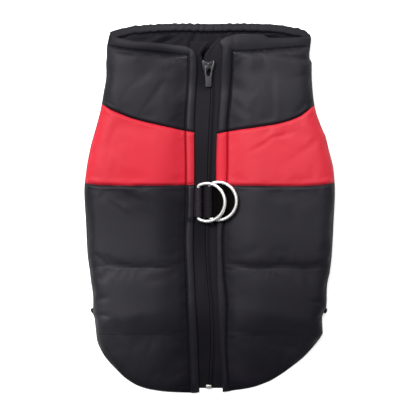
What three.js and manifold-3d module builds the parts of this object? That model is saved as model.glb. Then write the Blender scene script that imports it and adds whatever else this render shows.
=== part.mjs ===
// Padded dog rain jacket, closed, lying on its chest with the zipped back up.
//
// Two layers lie on each other. The back layer is cut in six padded panels: a yoke with the collar, a
// bright band and a long rounded back, each left and right of a zip. The chest layer is a throat panel
// and a chest panel with two leg holes, bound with elastic. Two D-rings for the lead hang in webbing
// loops beside the zip.
//
// Millimetres, +Z up. The neck is at +Y, the tail hem at -Y, and the jacket lies on z = 0.
import * as THREE from "three";
import { mergeVertices } from "three/addons/utils/BufferGeometryUtils.js";
import Module from "manifold-3d";

const wasm = await Module();
wasm.setup();

// ---------------------------------------------------------------- driving dimensions

const SEAM_GAP = 0.3; // between pieces that are sewn edge to edge
const LAYER_GAP = 0.4; // between the chest layer and the back layer
const CHEST_WALL = 5; // padded chest layer, lying flat
const LAYER = CHEST_WALL + LAYER_GAP; // underside of the back layer where it lies on the chest layer

const STITCHED = 3.6; // back layer pressed flat at a line of stitches
const FREE_EDGE = 2.6; // back layer at a turned, free edge
const SEAMED_EDGE = 1.6; // back layer at the side fold
const ROLL = 1.3; // how far the stitched edge roll stands up
const YOKE_PUFF = 8; // padding at the middle of the yoke
const BACK_PUFF = 10; // padding at the middle of the back
const VALLEY_REACH = 16; // the padding rises this slowly from the zip's stitching
const RIM_REACH = 5; // and this quickly from the collar's stitching
const FOLD_ROUND = 13; // rounding of the padded side fold
const HEM_ROUND = 9; // rounding of the padded tail hem

const CHANNELS = [-51.5, -116]; // quilted channels across the back
const CHANNEL_DEPTH = 2.8;
const CHANNEL_WIDTH = 6.5;
const CHANNEL_FADE = 0.25; // share of the width, beside the zip, over which a channel starts
const SEAM_DIP = 0.9; // how far a seam pulls the padding down
const SEAM_WIDTH = 1.8;

const MOUTH_LIFT = 10; // the back of the collar stands this far off the throat
const MOUTH_FROM = 112;
const MOUTH_TO = 160;
const NECK_HALF = 97;

const TAPE = 1; // zip tape
const TAPE_TUCK = 5.5; // width of tape sewn under each panel
const TAPE_ROOM = TAPE + 2 * SEAM_GAP; // room for it there
const COIL_ROLL = 1.2; // tape folded over the coil
const COIL_WIDTH = 1.9;
const COIL_OFFSET = 1.2; // of each tape's roll, from its inner edge

const BELLY_HEM = -93; // the chest layer's hem at the side folds
const BELLY_RISE = 14; // and how much higher it is in the middle
const BELLY_HALF = 112;
const BELLY_DROP = 30; // past the belly hem the back layer comes down to the floor over this length

// The zip and the panels' edges beside it: x at each height y.
const PLACKET = [
  { at: -173, leftGroove: -17.5, leftEdge: -10, zip: -1.2, rightEdge: 12.2, rightGroove: 18.6 },
  { at: -125, leftGroove: -19.5, leftEdge: -12.2, zip: 1, rightEdge: 9.2, rightGroove: 15.2 },
  { at: -92, leftGroove: -21.6, leftEdge: -14.4, zip: 0, rightEdge: 7.2, rightGroove: 15.2 },
  { at: -64, leftGroove: -22.8, leftEdge: -15.6, zip: -2.6, rightEdge: 6, rightGroove: 13.4 },
  { at: -30, leftGroove: -23.8, leftEdge: -16.2, zip: -4, rightEdge: 5.8, rightGroove: 12 },
  { at: 5, leftGroove: -22.9, leftEdge: -15.4, zip: -3.2, rightEdge: 6.4, rightGroove: 14.4 },
  { at: 40, leftGroove: -23.2, leftEdge: -15.6, zip: -2, rightEdge: 6.6, rightGroove: 15.4 },
  { at: 80, leftGroove: -24.3, leftEdge: -16, zip: -0.6, rightEdge: 7.8, rightGroove: 16.6 },
  { at: 112, leftGroove: -23.2, leftEdge: -15.6, zip: 0.8, rightEdge: 10.2, rightGroove: 18.4 },
  { at: 138, leftGroove: -21.8, leftEdge: -14.8, zip: -1.4, rightEdge: 12.2, rightGroove: 20 },
  { at: 166, leftGroove: -21.8, leftEdge: -15, zip: -1.4, rightEdge: 13.2, rightGroove: 20.8 },
];

// Above the slider the two tapes part: x of each tape's inner edge.
const ZIP_TOP = [
  { at: 136, left: -1.5, right: -1.2 },
  { at: 140, left: -3, right: -0.1 },
  { at: 144, left: -4.6, right: -1.2 },
  { at: 148, left: -5.2, right: -2.2 },
  { at: 152, left: -4.2, right: -1.5 },
  { at: 157, left: -1.4, right: 1.2 },
  { at: 161, left: 2, right: 4.6 },
  { at: 164, left: 5.2, right: 8.6 },
];
const LEFT_TAPE_TOP = 160;
const RIGHT_TAPE_TOP = 163.5;
const TAPE_END = -171.6;

// The side folds: distance of each from the middle, at each height y.
const FOLD_LINE = [
  { at: -118, left: 109.2, right: 108.4 },
  { at: -110, left: 110, right: 107.8 },
  { at: -104, left: 110.6, right: 107.6 },
  { at: -98, left: 112.2, right: 109.6 },
  { at: -92, left: 112, right: 112 },
  { at: -84, left: 112, right: 112.2 },
  { at: -76, left: 112.8, right: 112.2 },
  { at: -69, left: 114, right: 113 },
  { at: -60, left: 115, right: 115 },
  { at: -42, left: 117.4, right: 117.1 },
  { at: -10, left: 119, right: 118.8 },
  { at: 18, left: 120.5, right: 120 },
  { at: 37, left: 118.8, right: 118.9 },
  { at: 61, left: 114.4, right: 113.2 },
  { at: 80, left: 109.1, right: 106.4 },
  { at: 98, left: 104.5, right: 100.4 },
  { at: 112, left: 102.1, right: 98.7 },
  { at: 130, left: 99.4, right: 97.8 },
  { at: 140, left: 99.6, right: 97.8 },
  { at: 147, left: 99.1, right: 95.2 },
  { at: 156, left: 98.8, right: 96.2 },
  { at: 165, left: 97.2, right: 97 },
  { at: 170, left: 96, right: 95.6 },
];

// Seams and edges that run across: y at each share of the way from the zip (0) to the side fold (1).
// The stitching beside the zip lies at STRIP_SHARE.
const STRIP_SHARE = 0.1;
const RIM = [
  { at: 0, left: 143.5, right: 164 },
  { at: 0.02, left: 149.2, right: 166 },
  { at: 0.06, left: 152.8, right: 167 },
  { at: 0.13, left: 155.6, right: 167.4 },
  { at: 0.25, left: 157, right: 167.5 },
  { at: 0.42, left: 159, right: 166.8 },
  { at: 0.53, left: 160, right: 163.8 },
  { at: 0.7, left: 161.2, right: 164.2 },
  { at: 0.85, left: 164, right: 165 },
  { at: 1, left: 168, right: 165.4 },
];
const RIM_GROOVE = [
  { at: 0.1, left: 146.2, right: 150.4 },
  { at: 0.3, left: 148.4, right: 151 },
  { at: 0.5, left: 150.6, right: 152.4 },
  { at: 0.75, left: 153, right: 154.3 },
  { at: 1, left: 157.6, right: 156.6 },
];
const YOKE_SEAM = [
  { at: 0, left: 74.6, right: 73.6 },
  { at: 0.1, left: 76.2, right: 75.6 },
  { at: 0.35, left: 81.2, right: 79.1 },
  { at: 0.6, left: 86.8, right: 83.1 },
  { at: 0.8, left: 93.2, right: 89.2 },
  { at: 0.9, left: 97, right: 94.6 },
  { at: 1, left: 102.2, right: 101 },
];
const BAND_SEAM = [
  { at: 0, left: 24.8, right: 24.9 },
  { at: 0.3, left: 23.8, right: 24.1 },
  { at: 0.6, left: 23.7, right: 23.5 },
  { at: 0.85, left: 24.4, right: 24.4 },
  { at: 1, left: 26.6, right: 26.9 },
];
const HEM = [
  { at: 0, left: -175.6, right: -175.4 },
  { at: 0.06, left: -176.3, right: -175 },
  { at: 0.15, left: -176.1, right: -173.8 },
  { at: 0.3, left: -175.5, right: -171.3 },
  { at: 0.48, left: -173.2, right: -165 },
  { at: 0.6, left: -169.6, right: -158 },
  { at: 0.72, left: -162.4, right: -149.4 },
  { at: 0.82, left: -152.6, right: -141 },
  { at: 0.9, left: -143.7, right: -132.2 },
  { at: 0.96, left: -134, right: -124.6 },
  { at: 0.99, left: -126, right: -119.8 },
  { at: 1, left: -119, right: -117 },
];
const THROAT_RIM = [
  { at: 0, left: 178, right: 178 },
  { at: 0.3, left: 178.6, right: 178.6 },
  { at: 0.5, left: 178, right: 178.2 },
  { at: 0.66, left: 177, right: 177.4 },
  { at: 0.78, left: 175.8, right: 175.6 },
  { at: 0.86, left: 174.2, right: 173.6 },
  { at: 0.92, left: 172.6, right: 172 },
  { at: 0.96, left: 171.4, right: 169.6 },
  { at: 1, left: 169.8, right: 166.8 },
];
const THROAT_BAND = 7; // stitched band inside the throat's rim

// The largest soft folds: a ridge (height above 0) or a trough along a line through x, y.
const FOLDS = [
  { x: 64, y: 62, angle: 32, length: 22, width: 5, height: 1 },
  { x: 92, y: 52, angle: 48, length: 26, width: 6, height: -0.9 },
  { x: -50, y: 128, angle: 52, length: 24, width: 6, height: 1.1 },
  { x: -62, y: 138, angle: 40, length: 16, width: 5, height: -0.9 },
  { x: 84, y: 144, angle: -6, length: 16, width: 3, height: -1 },
  { x: -76, y: 12, angle: -24, length: 15, width: 4.5, height: -1.1 },
  { x: -88, y: -112, angle: -58, length: 13, width: 5, height: -1.1 },
  { x: 38, y: -40, angle: 20, length: 13, width: 4, height: -0.8 },
];

// Leg holes, cut in the chest panel.
const LEG = { x: 59, y: 42, halfWidth: 27, halfLength: 36, binding: 4.4 };

// D-rings and the webbing loops that hold their bars.
const WIRE = 1.4; // wire radius
const RING = 18; // radius of the bow, to the wire's middle
const BAR_BACK = 8.6; // the bar lies this far behind the bow's centre
const RING_CORNER = 2;
const WEBBING = 1.3;
const WEBBING_HALF = 14; // half of the webbing's width
const LOOP_INNER = WIRE + 0.35;
const LOOP_OUTER = LOOP_INNER + WEBBING;
const LOOP_TAIL = 1.6; // the webbing's two ends, pressed together and sewn under the panel
const WEBBING_ROOM = LOOP_TAIL + SEAM_GAP; // room for them there
const BAR_HEIGHT = LAYER + TAPE + SEAM_GAP + LOOP_OUTER;
const RINGS = [
  { name: "ring_upper", loop: "ring_loop_left", x: -11, y: 6.6, tilt: 18.5, tailTo: -19.5 },
  { name: "ring_lower", loop: "ring_loop_right", x: -0.3, y: 8, tilt: 16, tailTo: 11 },
];

// ---------------------------------------------------------------- small maths

const mix = (a, b, t) => a + (b - a) * t;
const bell = (d, width) => Math.exp(-((d / width) ** 2));

function smooth(from, to, value) {
  const t = Math.min(1, Math.max(0, (value - from) / (to - from)));
  return t * t * (3 - 2 * t);
}

// A smooth curve through a table's column that never overshoots its rows.
function along(table, column, at) {
  const last = table.length - 1;
  if (at <= table[0].at) return table[0][column];
  if (at >= table[last].at) return table[last][column];
  let i = 0;
  while (at > table[i + 1].at) i++;
  const slope = (k) => (table[k + 1][column] - table[k][column]) / (table[k + 1].at - table[k].at);
  const tangent = (k) => {
    if (k === 0) return slope(0);
    if (k === last) return slope(last - 1);
    const a = slope(k - 1);
    const b = slope(k);
    return a * b <= 0 ? 0 : (2 * a * b) / (a + b);
  };
  const h = table[i + 1].at - table[i].at;
  const t = (at - table[i].at) / h;
  return (
    table[i][column] * (2 * t ** 3 - 3 * t ** 2 + 1) +
    table[i + 1][column] * (3 * t ** 2 - 2 * t ** 3) +
    tangent(i) * h * (t ** 3 - 2 * t ** 2 + t) +
    tangent(i + 1) * h * (t ** 3 - t ** 2)
  );
}

// Quarter-round rise from 0 at an edge to 1 at a distance of radius from it.
function rounded(distance, radius) {
  const t = Math.min(1, Math.max(0, distance / radius));
  return Math.sqrt(1 - (1 - t) ** 2);
}

// ---------------------------------------------------------------- the back layer's form

const LEFT = { name: "left", sign: -1, edge: "leftEdge", groove: "leftGroove" };
const RIGHT = { name: "right", sign: 1, edge: "rightEdge", groove: "rightGroove" };

// x of the point at a share of the way from the zip's edge to the side fold.
function acrossX(side, share, y) {
  const edge = along(PLACKET, side.edge, y);
  const groove = along(PLACKET, side.groove, y);
  const fold = side.sign * along(FOLD_LINE, side.name, y);
  if (share < STRIP_SHARE) return mix(edge, groove, share / STRIP_SHARE);
  return mix(groove, fold, (share - STRIP_SHARE) / (1 - STRIP_SHARE));
}

const bellyHem = (x) => BELLY_HEM + BELLY_RISE * Math.max(0, 1 - (x / BELLY_HALF) ** 2);

// Underside of the back layer: on the chest layer, down to the floor past the belly hem, and lifted
// at the mouth of the neck.
function underside(x, y) {
  const hem = bellyHem(x);
  const open = Math.max(0, 1 - (x / NECK_HALF) ** 2);
  return LAYER * smooth(hem - BELLY_DROP, hem - 6, y) + MOUTH_LIFT * open * smooth(MOUTH_FROM, MOUTH_TO, y);
}

// Where the webbing's ends lie under the panels: 1 inside the webbing's width, 0 past it.
function webbingUnder(y) {
  const from = RINGS[0].y - WEBBING_HALF;
  const to = RINGS[1].y + WEBBING_HALF;
  return smooth(from - 3.5, from - 0.5, y) * (1 - smooth(to + 0.5, to + 3.5, y));
}

// Room under a panel for the zip tape and the webbing that are sewn to it.
function tuck(side, x, y) {
  const inward = side.sign * (x - along(PLACKET, side.edge, y));
  const under = 1 - smooth(TAPE_TUCK + 1, TAPE_TUCK + 4, inward);
  return under * (TAPE_ROOM + WEBBING_ROOM * webbingUnder(y));
}

function folds(x, y) {
  let sum = 0;
  for (const f of FOLDS) {
    const a = THREE.MathUtils.degToRad(f.angle);
    const run = (x - f.x) * Math.cos(a) + (y - f.y) * Math.sin(a);
    const off = (y - f.y) * Math.cos(a) - (x - f.x) * Math.sin(a);
    sum += f.height * bell(run, f.length) * bell(off, f.width);
  }
  return sum;
}

// The outline of each half, from the zip along the tail hem and up the side fold.
for (const side of [LEFT, RIGHT]) {
  side.outline = [];
  for (let share = 0; share < 1; share += 0.02) {
    const y = along(HEM, side.name, share);
    side.outline.push(new THREE.Vector2(acrossX(side, share, y), y));
  }
  for (let y = along(HEM, side.name, 1); y < 180; y += 6)
    side.outline.push(new THREE.Vector2(side.sign * along(FOLD_LINE, side.name, y), y));
}

function toOutline(side, x, y) {
  const point = new THREE.Vector2(x, y);
  let nearest = Infinity;
  for (let i = 0; i + 1 < side.outline.length; i++) {
    const run = side.outline[i + 1].clone().sub(side.outline[i]);
    const from = point.clone().sub(side.outline[i]);
    const t = THREE.MathUtils.clamp(from.dot(run) / run.lengthSq(), 0, 1);
    nearest = Math.min(nearest, from.addScaledVector(run, -t).length());
  }
  return nearest;
}

// Height of the padded outside above the underside.
function loft(side, share, x, y) {
  const edge = along(PLACKET, side.edge, y);
  const groove = along(PLACKET, side.groove, y);
  const rim = along(RIM, side.name, share);
  const rimGroove = along(RIM_GROOVE, side.name, share);

  const fromEdge = side.sign * (x - edge);
  const fromRim = rim - y;
  const strip = Math.abs(groove - edge);
  const band = rim - rimGroove;
  const roll = Math.max(0, Math.min(fromEdge / strip, fromRim / band));
  let height;
  if (roll < 1) {
    height = mix(FREE_EDGE, STITCHED, roll) + ROLL * Math.sqrt(Math.sin(Math.PI * roll));
    height += WEBBING_ROOM * webbingUnder(y) * (1 - smooth(0.55, 0.95, roll));
  } else {
    const puff = mix(BACK_PUFF, YOKE_PUFF, smooth(0, 90, y));
    const valley = 1 - Math.exp(-(fromEdge - strip) / VALLEY_REACH);
    const collar = 1 - Math.exp(-(fromRim - band) / RIM_REACH);
    height = STITCHED + (puff - STITCHED) * valley * collar + folds(x, y) * valley * collar;
    const start = mix(0.5, 1, smooth(0, CHANNEL_FADE, share - STRIP_SHARE));
    for (const channel of CHANNELS)
      height -= CHANNEL_DEPTH * valley * start * bell(y - channel, CHANNEL_WIDTH);
  }
  for (const seam of [YOKE_SEAM, BAND_SEAM])
    height -= SEAM_DIP * bell(y - along(seam, side.name, share), SEAM_WIDTH);
  const round = mix(HEM_ROUND, FOLD_ROUND, smooth(-150, -100, y));
  return mix(SEAMED_EDGE, height, rounded(toOutline(side, x, y), round));
}

// ---------------------------------------------------------------- solids

// A closed wall between two grids of points of the same size, outside and inside.
function wall(rows, columns, outside, inside) {
  const points = [];
  const faces = [];
  const at = (layer, i, j) => (layer * rows + i) * columns + j;
  for (const face of [outside, inside])
    for (let i = 0; i < rows; i++)
      for (let j = 0; j < columns; j++) points.push(...face(i, j));
  const quad = (a, b, c, d) => faces.push(a, b, c, a, c, d);
  for (let i = 0; i + 1 < rows; i++)
    for (let j = 0; j + 1 < columns; j++) {
      quad(at(0, i, j), at(0, i, j + 1), at(0, i + 1, j + 1), at(0, i + 1, j));
      quad(at(1, i, j), at(1, i + 1, j), at(1, i + 1, j + 1), at(1, i, j + 1));
    }
  for (let j = 0; j + 1 < columns; j++) {
    quad(at(1, 0, j), at(1, 0, j + 1), at(0, 0, j + 1), at(0, 0, j));
    quad(at(0, rows - 1, j), at(0, rows - 1, j + 1), at(1, rows - 1, j + 1), at(1, rows - 1, j));
  }
  for (let i = 0; i + 1 < rows; i++) {
    quad(at(0, i, 0), at(0, i + 1, 0), at(1, i + 1, 0), at(1, i, 0));
    quad(at(1, i, columns - 1), at(1, i + 1, columns - 1), at(0, i + 1, columns - 1), at(0, i, columns - 1));
  }
  const geometry = new THREE.BufferGeometry();
  geometry.setAttribute("position", new THREE.Float32BufferAttribute(points, 3));
  geometry.setIndex(faces);
  return outward(geometry);
}

// Turns a closed mesh's faces outwards.
function outward(geometry) {
  const p = geometry.getAttribute("position");
  const index = Array.from(geometry.index.array);
  const [a, b, c] = [new THREE.Vector3(), new THREE.Vector3(), new THREE.Vector3()];
  let volume = 0;
  for (let i = 0; i < index.length; i += 3) {
    a.fromBufferAttribute(p, index[i]);
    b.fromBufferAttribute(p, index[i + 1]);
    c.fromBufferAttribute(p, index[i + 2]);
    volume += a.dot(b.cross(c));
  }
  if (volume < 0)
    for (let i = 0; i < index.length; i += 3) [index[i], index[i + 1]] = [index[i + 1], index[i]];
  geometry.setIndex(index);
  geometry.computeVertexNormals();
  return geometry;
}

// A closed tube of round section along a closed, flat loop of points.
function closedTube(loop, radius, sides) {
  const points = [];
  const faces = [];
  loop.forEach((p, i) => {
    const before = loop[(i + loop.length - 1) % loop.length];
    const after = loop[(i + 1) % loop.length];
    const out = new THREE.Vector2(after.y - before.y, before.x - after.x).normalize();
    for (let k = 0; k < sides; k++) {
      const a = (2 * Math.PI * k) / sides;
      const r = radius * Math.cos(a);
      points.push(p.x + out.x * r, p.y + out.y * r, radius * Math.sin(a));
    }
  });
  for (let i = 0; i < loop.length; i++)
    for (let k = 0; k < sides; k++) {
      const [j, m] = [(i + 1) % loop.length, (k + 1) % sides];
      faces.push(i * sides + k, i * sides + m, j * sides + m, i * sides + k, j * sides + m, j * sides + k);
    }
  const geometry = new THREE.BufferGeometry();
  geometry.setAttribute("position", new THREE.Float32BufferAttribute(points, 3));
  geometry.setIndex(faces);
  return outward(geometry);
}

function toSolid(geometry) {
  const bare = geometry.index ? geometry.toNonIndexed() : geometry.clone();
  bare.deleteAttribute("normal");
  bare.deleteAttribute("uv");
  const merged = mergeVertices(bare, 1e-4);
  return new wasm.Manifold(
    new wasm.Mesh({
      numProp: 3,
      vertProperties: merged.getAttribute("position").array,
      triVerts: new Uint32Array(merged.index.array),
    }),
  );
}

function fromSolid(solid) {
  const mesh = solid.getMesh();
  const geometry = new THREE.BufferGeometry();
  geometry.setAttribute("position", new THREE.Float32BufferAttribute(mesh.vertProperties, 3));
  geometry.setIndex(Array.from(mesh.triVerts));
  geometry.computeVertexNormals();
  return geometry;
}

// A flat outline in x and y, made solid from z = low to z = high.
function slab(outline, low, high) {
  const settings = { depth: high - low, bevelEnabled: false, curveSegments: 10 };
  return new THREE.ExtrudeGeometry(outline, settings).translate(0, 0, low);
}

// ---------------------------------------------------------------- materials

const cloth = (name, color, roughness) => new THREE.MeshStandardMaterial({ name, color, roughness });
const BLACK_SHELL = cloth("black_shell", 0x26262a, 0.55);
const RED_SHELL = cloth("red_shell", 0xe03a4a, 0.5);
const BLACK_LINING = cloth("black_lining", 0x222226, 0.8);
const BLACK_ELASTIC = cloth("black_elastic", 0x1c1c1f, 0.85);
const BLACK_TAPE = cloth("zip_tape", 0x1e1e22, 0.8);
const BLACK_WEBBING = cloth("webbing", 0x19181c, 0.75);
const RING_STEEL = new THREE.MeshStandardMaterial({
  name: "ring_steel",
  color: 0xe8e6e2,
  roughness: 0.15,
  metalness: 1,
});
const SLIDER_METAL = new THREE.MeshStandardMaterial({
  name: "slider_metal",
  color: 0x6f7078,
  roughness: 0.35,
  metalness: 1,
});

const jacket = new THREE.Group();

function add(parent, name, geometry, material) {
  const mesh = new THREE.Mesh(geometry, material);
  mesh.name = name;
  parent.add(mesh);
  return mesh;
}

// ---------------------------------------------------------------- back layer: six padded panels

// Shares at which the panels are sampled: close together at the zip's roll and at the side fold.
const ACROSS = [
  0, 0.014, 0.045, 0.08, 0.1, 0.125, 0.19, 0.29, 0.42, 0.56, 0.69, 0.8, 0.885, 0.943, 0.975, 0.993, 1,
];

// One padded panel between two lines that run across, sampled at the given shares of its height. The
// rows follow the lower line's curve, and straighten out at the share `straight`.
function panel(side, low, high, heights, straight = 1) {
  const place = (i, j) => {
    const share = ACROSS[j];
    const curve = (low(share) - low(0)) * Math.max(0, 1 - heights[i] / straight);
    const y = mix(low(0), high(share), heights[i]) + curve;
    return [share, acrossX(side, share, y), y];
  };
  const outside = (i, j) => {
    const [share, x, y] = place(i, j);
    return [x, y, underside(x, y) + loft(side, share, x, y)];
  };
  const inside = (i, j) => {
    const [, x, y] = place(i, j);
    return [x, y, underside(x, y) + tuck(side, x, y)];
  };
  return wall(heights.length, ACROSS.length, outside, inside);
}

const YOKE_HEIGHTS = [0, 0.04, 0.14, 0.3, 0.46, 0.62, 0.76, 0.84, 0.89, 0.93, 0.97, 0.99, 1];
const BAND_HEIGHTS = [0, 0.05, 0.22, 0.5, 0.78, 0.95, 1];
const BACK_HEIGHTS = [
  0, 0.004, 0.014, 0.035, 0.08, 0.15, 0.22, 0.265, 0.305, 0.345, 0.385, 0.42, 0.46, 0.52, 0.57, 0.61, 0.645,
  0.7, 0.81, 0.838, 0.92, 0.985, 1,
];
const BACK_STRAIGHT = 0.45;

for (const side of [LEFT, RIGHT]) {
  const line = (table, offset) => (share) => along(table, side.name, share) + offset;
  const half = SEAM_GAP / 2;
  const yoke = panel(side, line(YOKE_SEAM, half), line(RIM, 0), YOKE_HEIGHTS);
  const band = panel(side, line(BAND_SEAM, half), line(YOKE_SEAM, -half), BAND_HEIGHTS);
  const back = panel(side, line(HEM, 0), line(BAND_SEAM, -half), BACK_HEIGHTS, BACK_STRAIGHT);
  add(jacket, "yoke_" + side.name, yoke, BLACK_SHELL);
  add(jacket, "band_" + side.name, band, RED_SHELL);
  add(jacket, "back_" + side.name, back, BLACK_SHELL);
}

// ---------------------------------------------------------------- chest layer

const CHEST_ROUND = 6; // rounding of the chest layer's underside at the side folds
const CHEST_TURN = 2.8;
const THROAT_SEAM = 96;
const THROAT_SEAM_RISE = 6;

const foldAt = (share, y) => share * along(FOLD_LINE, share < 0 ? "left" : "right", y);
const throatRim = (share) => along(THROAT_RIM, share < 0 ? "left" : "right", Math.abs(share));
const throatSeam = (share) => THROAT_SEAM + THROAT_SEAM_RISE * share * share;

// Underside of the chest layer: flat on the floor, turned up at the side folds.
function chestUnderside(x, y) {
  const fold = Math.abs(foldAt(Math.sign(x) || 1, y));
  return CHEST_TURN * (1 - rounded(fold - Math.abs(x), CHEST_ROUND));
}

// Shares at which the chest layer is sampled, from the left fold (-1) to the right fold (1).
const HALF_SPREAD = [0.2, 0.42, 0.62, 0.78, 0.88, 0.94, 0.97, 0.99, 1];
const SPREAD = [...HALF_SPREAD.map((s) => -s).reverse(), 0, ...HALF_SPREAD];

function chestPiece(low, high, heights, top) {
  const place = (i, j) => {
    const share = SPREAD[j];
    const y = mix(low(share), high(share), heights[i]);
    return [share, foldAt(share, y), y];
  };
  const upper = (i, j) => {
    const [share, x, y] = place(i, j);
    return [x, y, top(share, x, y)];
  };
  const lower = (i, j) => {
    const [, x, y] = place(i, j);
    return [x, y, chestUnderside(x, y)];
  };
  return wall(heights.length, SPREAD.length, upper, lower);
}

// The hem of the chest panel follows the belly hem; its binding is a piece of its own.
const chestLow = (share) => bellyHem(foldAt(share, BELLY_HEM)) + 1.5 * SEAM_GAP;
const chestSheet = chestPiece(
  chestLow,
  (share) => throatSeam(share) - SEAM_GAP,
  [0, 0.12, 0.25, 0.4, 0.55, 0.7, 0.85, 1],
  () => CHEST_WALL,
);

function legOutline(side, shrink) {
  const shape = new THREE.Shape();
  shape.absellipse(side.sign * LEG.x, LEG.y, LEG.halfWidth - shrink, LEG.halfLength - shrink, 0, 2 * Math.PI);
  return shape;
}

let chest = toSolid(chestSheet);
for (const side of [LEFT, RIGHT]) {
  const hole = slab(legOutline(side, 0), -2, CHEST_WALL + 2);
  chest = chest.subtract(toSolid(hole));
}
add(jacket, "chest_panel", fromSolid(chest), BLACK_SHELL);

// Throat panel with the front of the collar: its stitched band shows inside the open neck.
function throatTop(share, x, y) {
  const rim = throatRim(share);
  const middle = Math.max(0, 1 - share ** 4);
  const roll = Math.min(1, Math.max(0, (rim - y) / THROAT_BAND));
  const ridge = 1.4 * Math.sqrt(Math.sin(Math.PI * roll)) - 0.6 * bell(rim - THROAT_BAND - y, 1.5);
  const turned = 1.8 * (1 - rounded(rim - y, 3));
  return CHEST_WALL + ridge * middle - turned;
}
const RIM_WAVES = 46; // gathers of the elastic in the throat's rim
const RIM_WAVE = 0.35;
const throat = chestPiece(
  throatSeam,
  (share) => throatRim(share) - RIM_WAVE * (1 + Math.cos(RIM_WAVES * share)),
  [0, 0.2, 0.45, 0.7, 0.85, 0.9, 0.915, 0.935, 0.955, 0.975, 0.99, 1],
  throatTop,
);
add(jacket, "throat_panel", throat, BLACK_LINING);

// Elastic bindings: round the leg holes, and along the belly hem, where it is gathered.
const LEG_BEVEL = 0.4;
for (const side of [LEFT, RIGHT]) {
  const ring = legOutline(side, SEAM_GAP + LEG_BEVEL);
  ring.holes.push(legOutline(side, SEAM_GAP + LEG.binding));
  const geometry = new THREE.ExtrudeGeometry(ring, {
    depth: CHEST_WALL - 2 * LEG_BEVEL,
    bevelSize: LEG_BEVEL,
    bevelThickness: LEG_BEVEL,
    bevelSegments: 1,
    curveSegments: 10,
  });
  add(jacket, "leg_binding_" + side.name, geometry.translate(0, 0, LEG_BEVEL), BLACK_ELASTIC);
}

// The belly binding: a soft roll whose gathered ends stand out past the side folds.
const BINDING = { width: 4.2, height: 4.7, waves: 16, wave: 0.5, steps: 48, halfLength: 113.6 };
const BINDING_ACROSS = [0, 0.18, 0.5, 0.82, 1];

function bindingPoint(i, j) {
  const x = BINDING.halfLength * mix(-1, 1, i / BINDING.steps);
  const wave = Math.cos((2 * Math.PI * BINDING.waves * i) / BINDING.steps);
  const belly = Math.sqrt(Math.sin(Math.PI * mix(0.06, 0.94, BINDING_ACROSS[j])));
  const y = bellyHem(x) - BINDING_ACROSS[j] * (BINDING.width + BINDING.wave * wave);
  return [x, y, wave, belly];
}
const bellyBinding = wall(
  BINDING.steps + 1,
  BINDING_ACROSS.length,
  (i, j) => {
    const [x, y, wave, belly] = bindingPoint(i, j);
    return [x, y, BINDING.height * mix(0.55, 1, belly) - 0.6 * BINDING.wave * (1 + wave)];
  },
  (i, j) => {
    const [x, y, , belly] = bindingPoint(i, j);
    return [x, y, 1.2 * (1 - belly) ** 2];
  },
);
add(jacket, "belly_binding", bellyBinding, BLACK_ELASTIC);

// ---------------------------------------------------------------- zip

const tapeEdge = (side, y) =>
  y < ZIP_TOP[0].at ? along(PLACKET, "zip", y) + (side.sign * SEAM_GAP) / 2 : along(ZIP_TOP, side.name, y);

// Heights at which the tapes are sampled: close together at the belly hem, the rings and the slider.
const TAPE_ROWS = [
  TAPE_END, -158, -144, -130, -117, -111, -106, -101, -96, -91, -86, -70, -54, -38, -24, -12, -8, 22.3, 26,
  42, 60, 80, 98, 107, 113, 119, 125, 130, 133, 136, 139, 142, 145, 148.5, 152, 156, 160,
];

function tape(side, top) {
  const steps = [...TAPE_ROWS.filter((y) => y < top - 1), top];
  const widths = [0, 0.08, 0.2, 0.36, 1];
  const place = (i, j) => {
    const y = steps[i];
    const inner = tapeEdge(side, y);
    const outer = along(PLACKET, side.edge, y) + side.sign * TAPE_TUCK;
    return [inner, mix(inner, outer, widths[j]), y];
  };
  const topFace = (i, j) => {
    const [inner, x, y] = place(i, j);
    const fromCoil = side.sign * (x - inner) - COIL_OFFSET;
    const coil = COIL_ROLL * bell(fromCoil, COIL_WIDTH) * (1 - webbingUnder(y));
    return [x, y, underside(x, y) + TAPE + coil];
  };
  const bottomFace = (i, j) => {
    const [, x, y] = place(i, j);
    return [x, y, underside(x, y)];
  };
  return wall(steps.length, widths.length, topFace, bottomFace);
}
add(jacket, "zip_tape_left", tape(LEFT, LEFT_TAPE_TOP), BLACK_TAPE);
add(jacket, "zip_tape_right", tape(RIGHT, RIGHT_TAPE_TOP), BLACK_TAPE);

// Slider: a top and a bottom plate, joined by a wedge between the parted tapes, and a bow on top.
const SLIDER = {
  y: 136.5,
  shoulder: 6.1, // half width at the top
  foot: 4.3, // half width at the bottom
  up: 5.6, // reach above and below the pull's axis
  down: 4.4,
  plate: 1.2,
  clear: 0.5, // clear room above and below the tapes, between the plates
  wedge: 1.2, // width of the wedge that parts the tapes
  bow: 3.3, // height of the bow's top above the plate
  bowWall: 0.9,
  bowHalf: 1.1,
  bowReach: 3,
  bowLeg: 1.2,
  bar: 0.7, // radius of the pull's bar under the bow
  barHeight: 1.2,
};

function sliderPlate(low, high) {
  const s = new THREE.Shape();
  s.moveTo(-SLIDER.foot, -SLIDER.down);
  s.lineTo(SLIDER.foot, -SLIDER.down);
  s.lineTo(SLIDER.shoulder, SLIDER.up - 3);
  s.lineTo(SLIDER.shoulder, SLIDER.up - 0.6);
  s.lineTo(SLIDER.shoulder - 1.4, SLIDER.up);
  s.lineTo(0.9, SLIDER.up - 1.4);
  s.lineTo(-0.9, SLIDER.up - 1.4);
  s.lineTo(1.4 - SLIDER.shoulder, SLIDER.up);
  s.lineTo(-SLIDER.shoulder, SLIDER.up - 0.6);
  s.lineTo(-SLIDER.shoulder, SLIDER.up - 3);
  return slab(s, low, high);
}

const block = (x, y, z, width, length, height) =>
  new THREE.BoxGeometry(width, length, height).translate(x, y, z);

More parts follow.
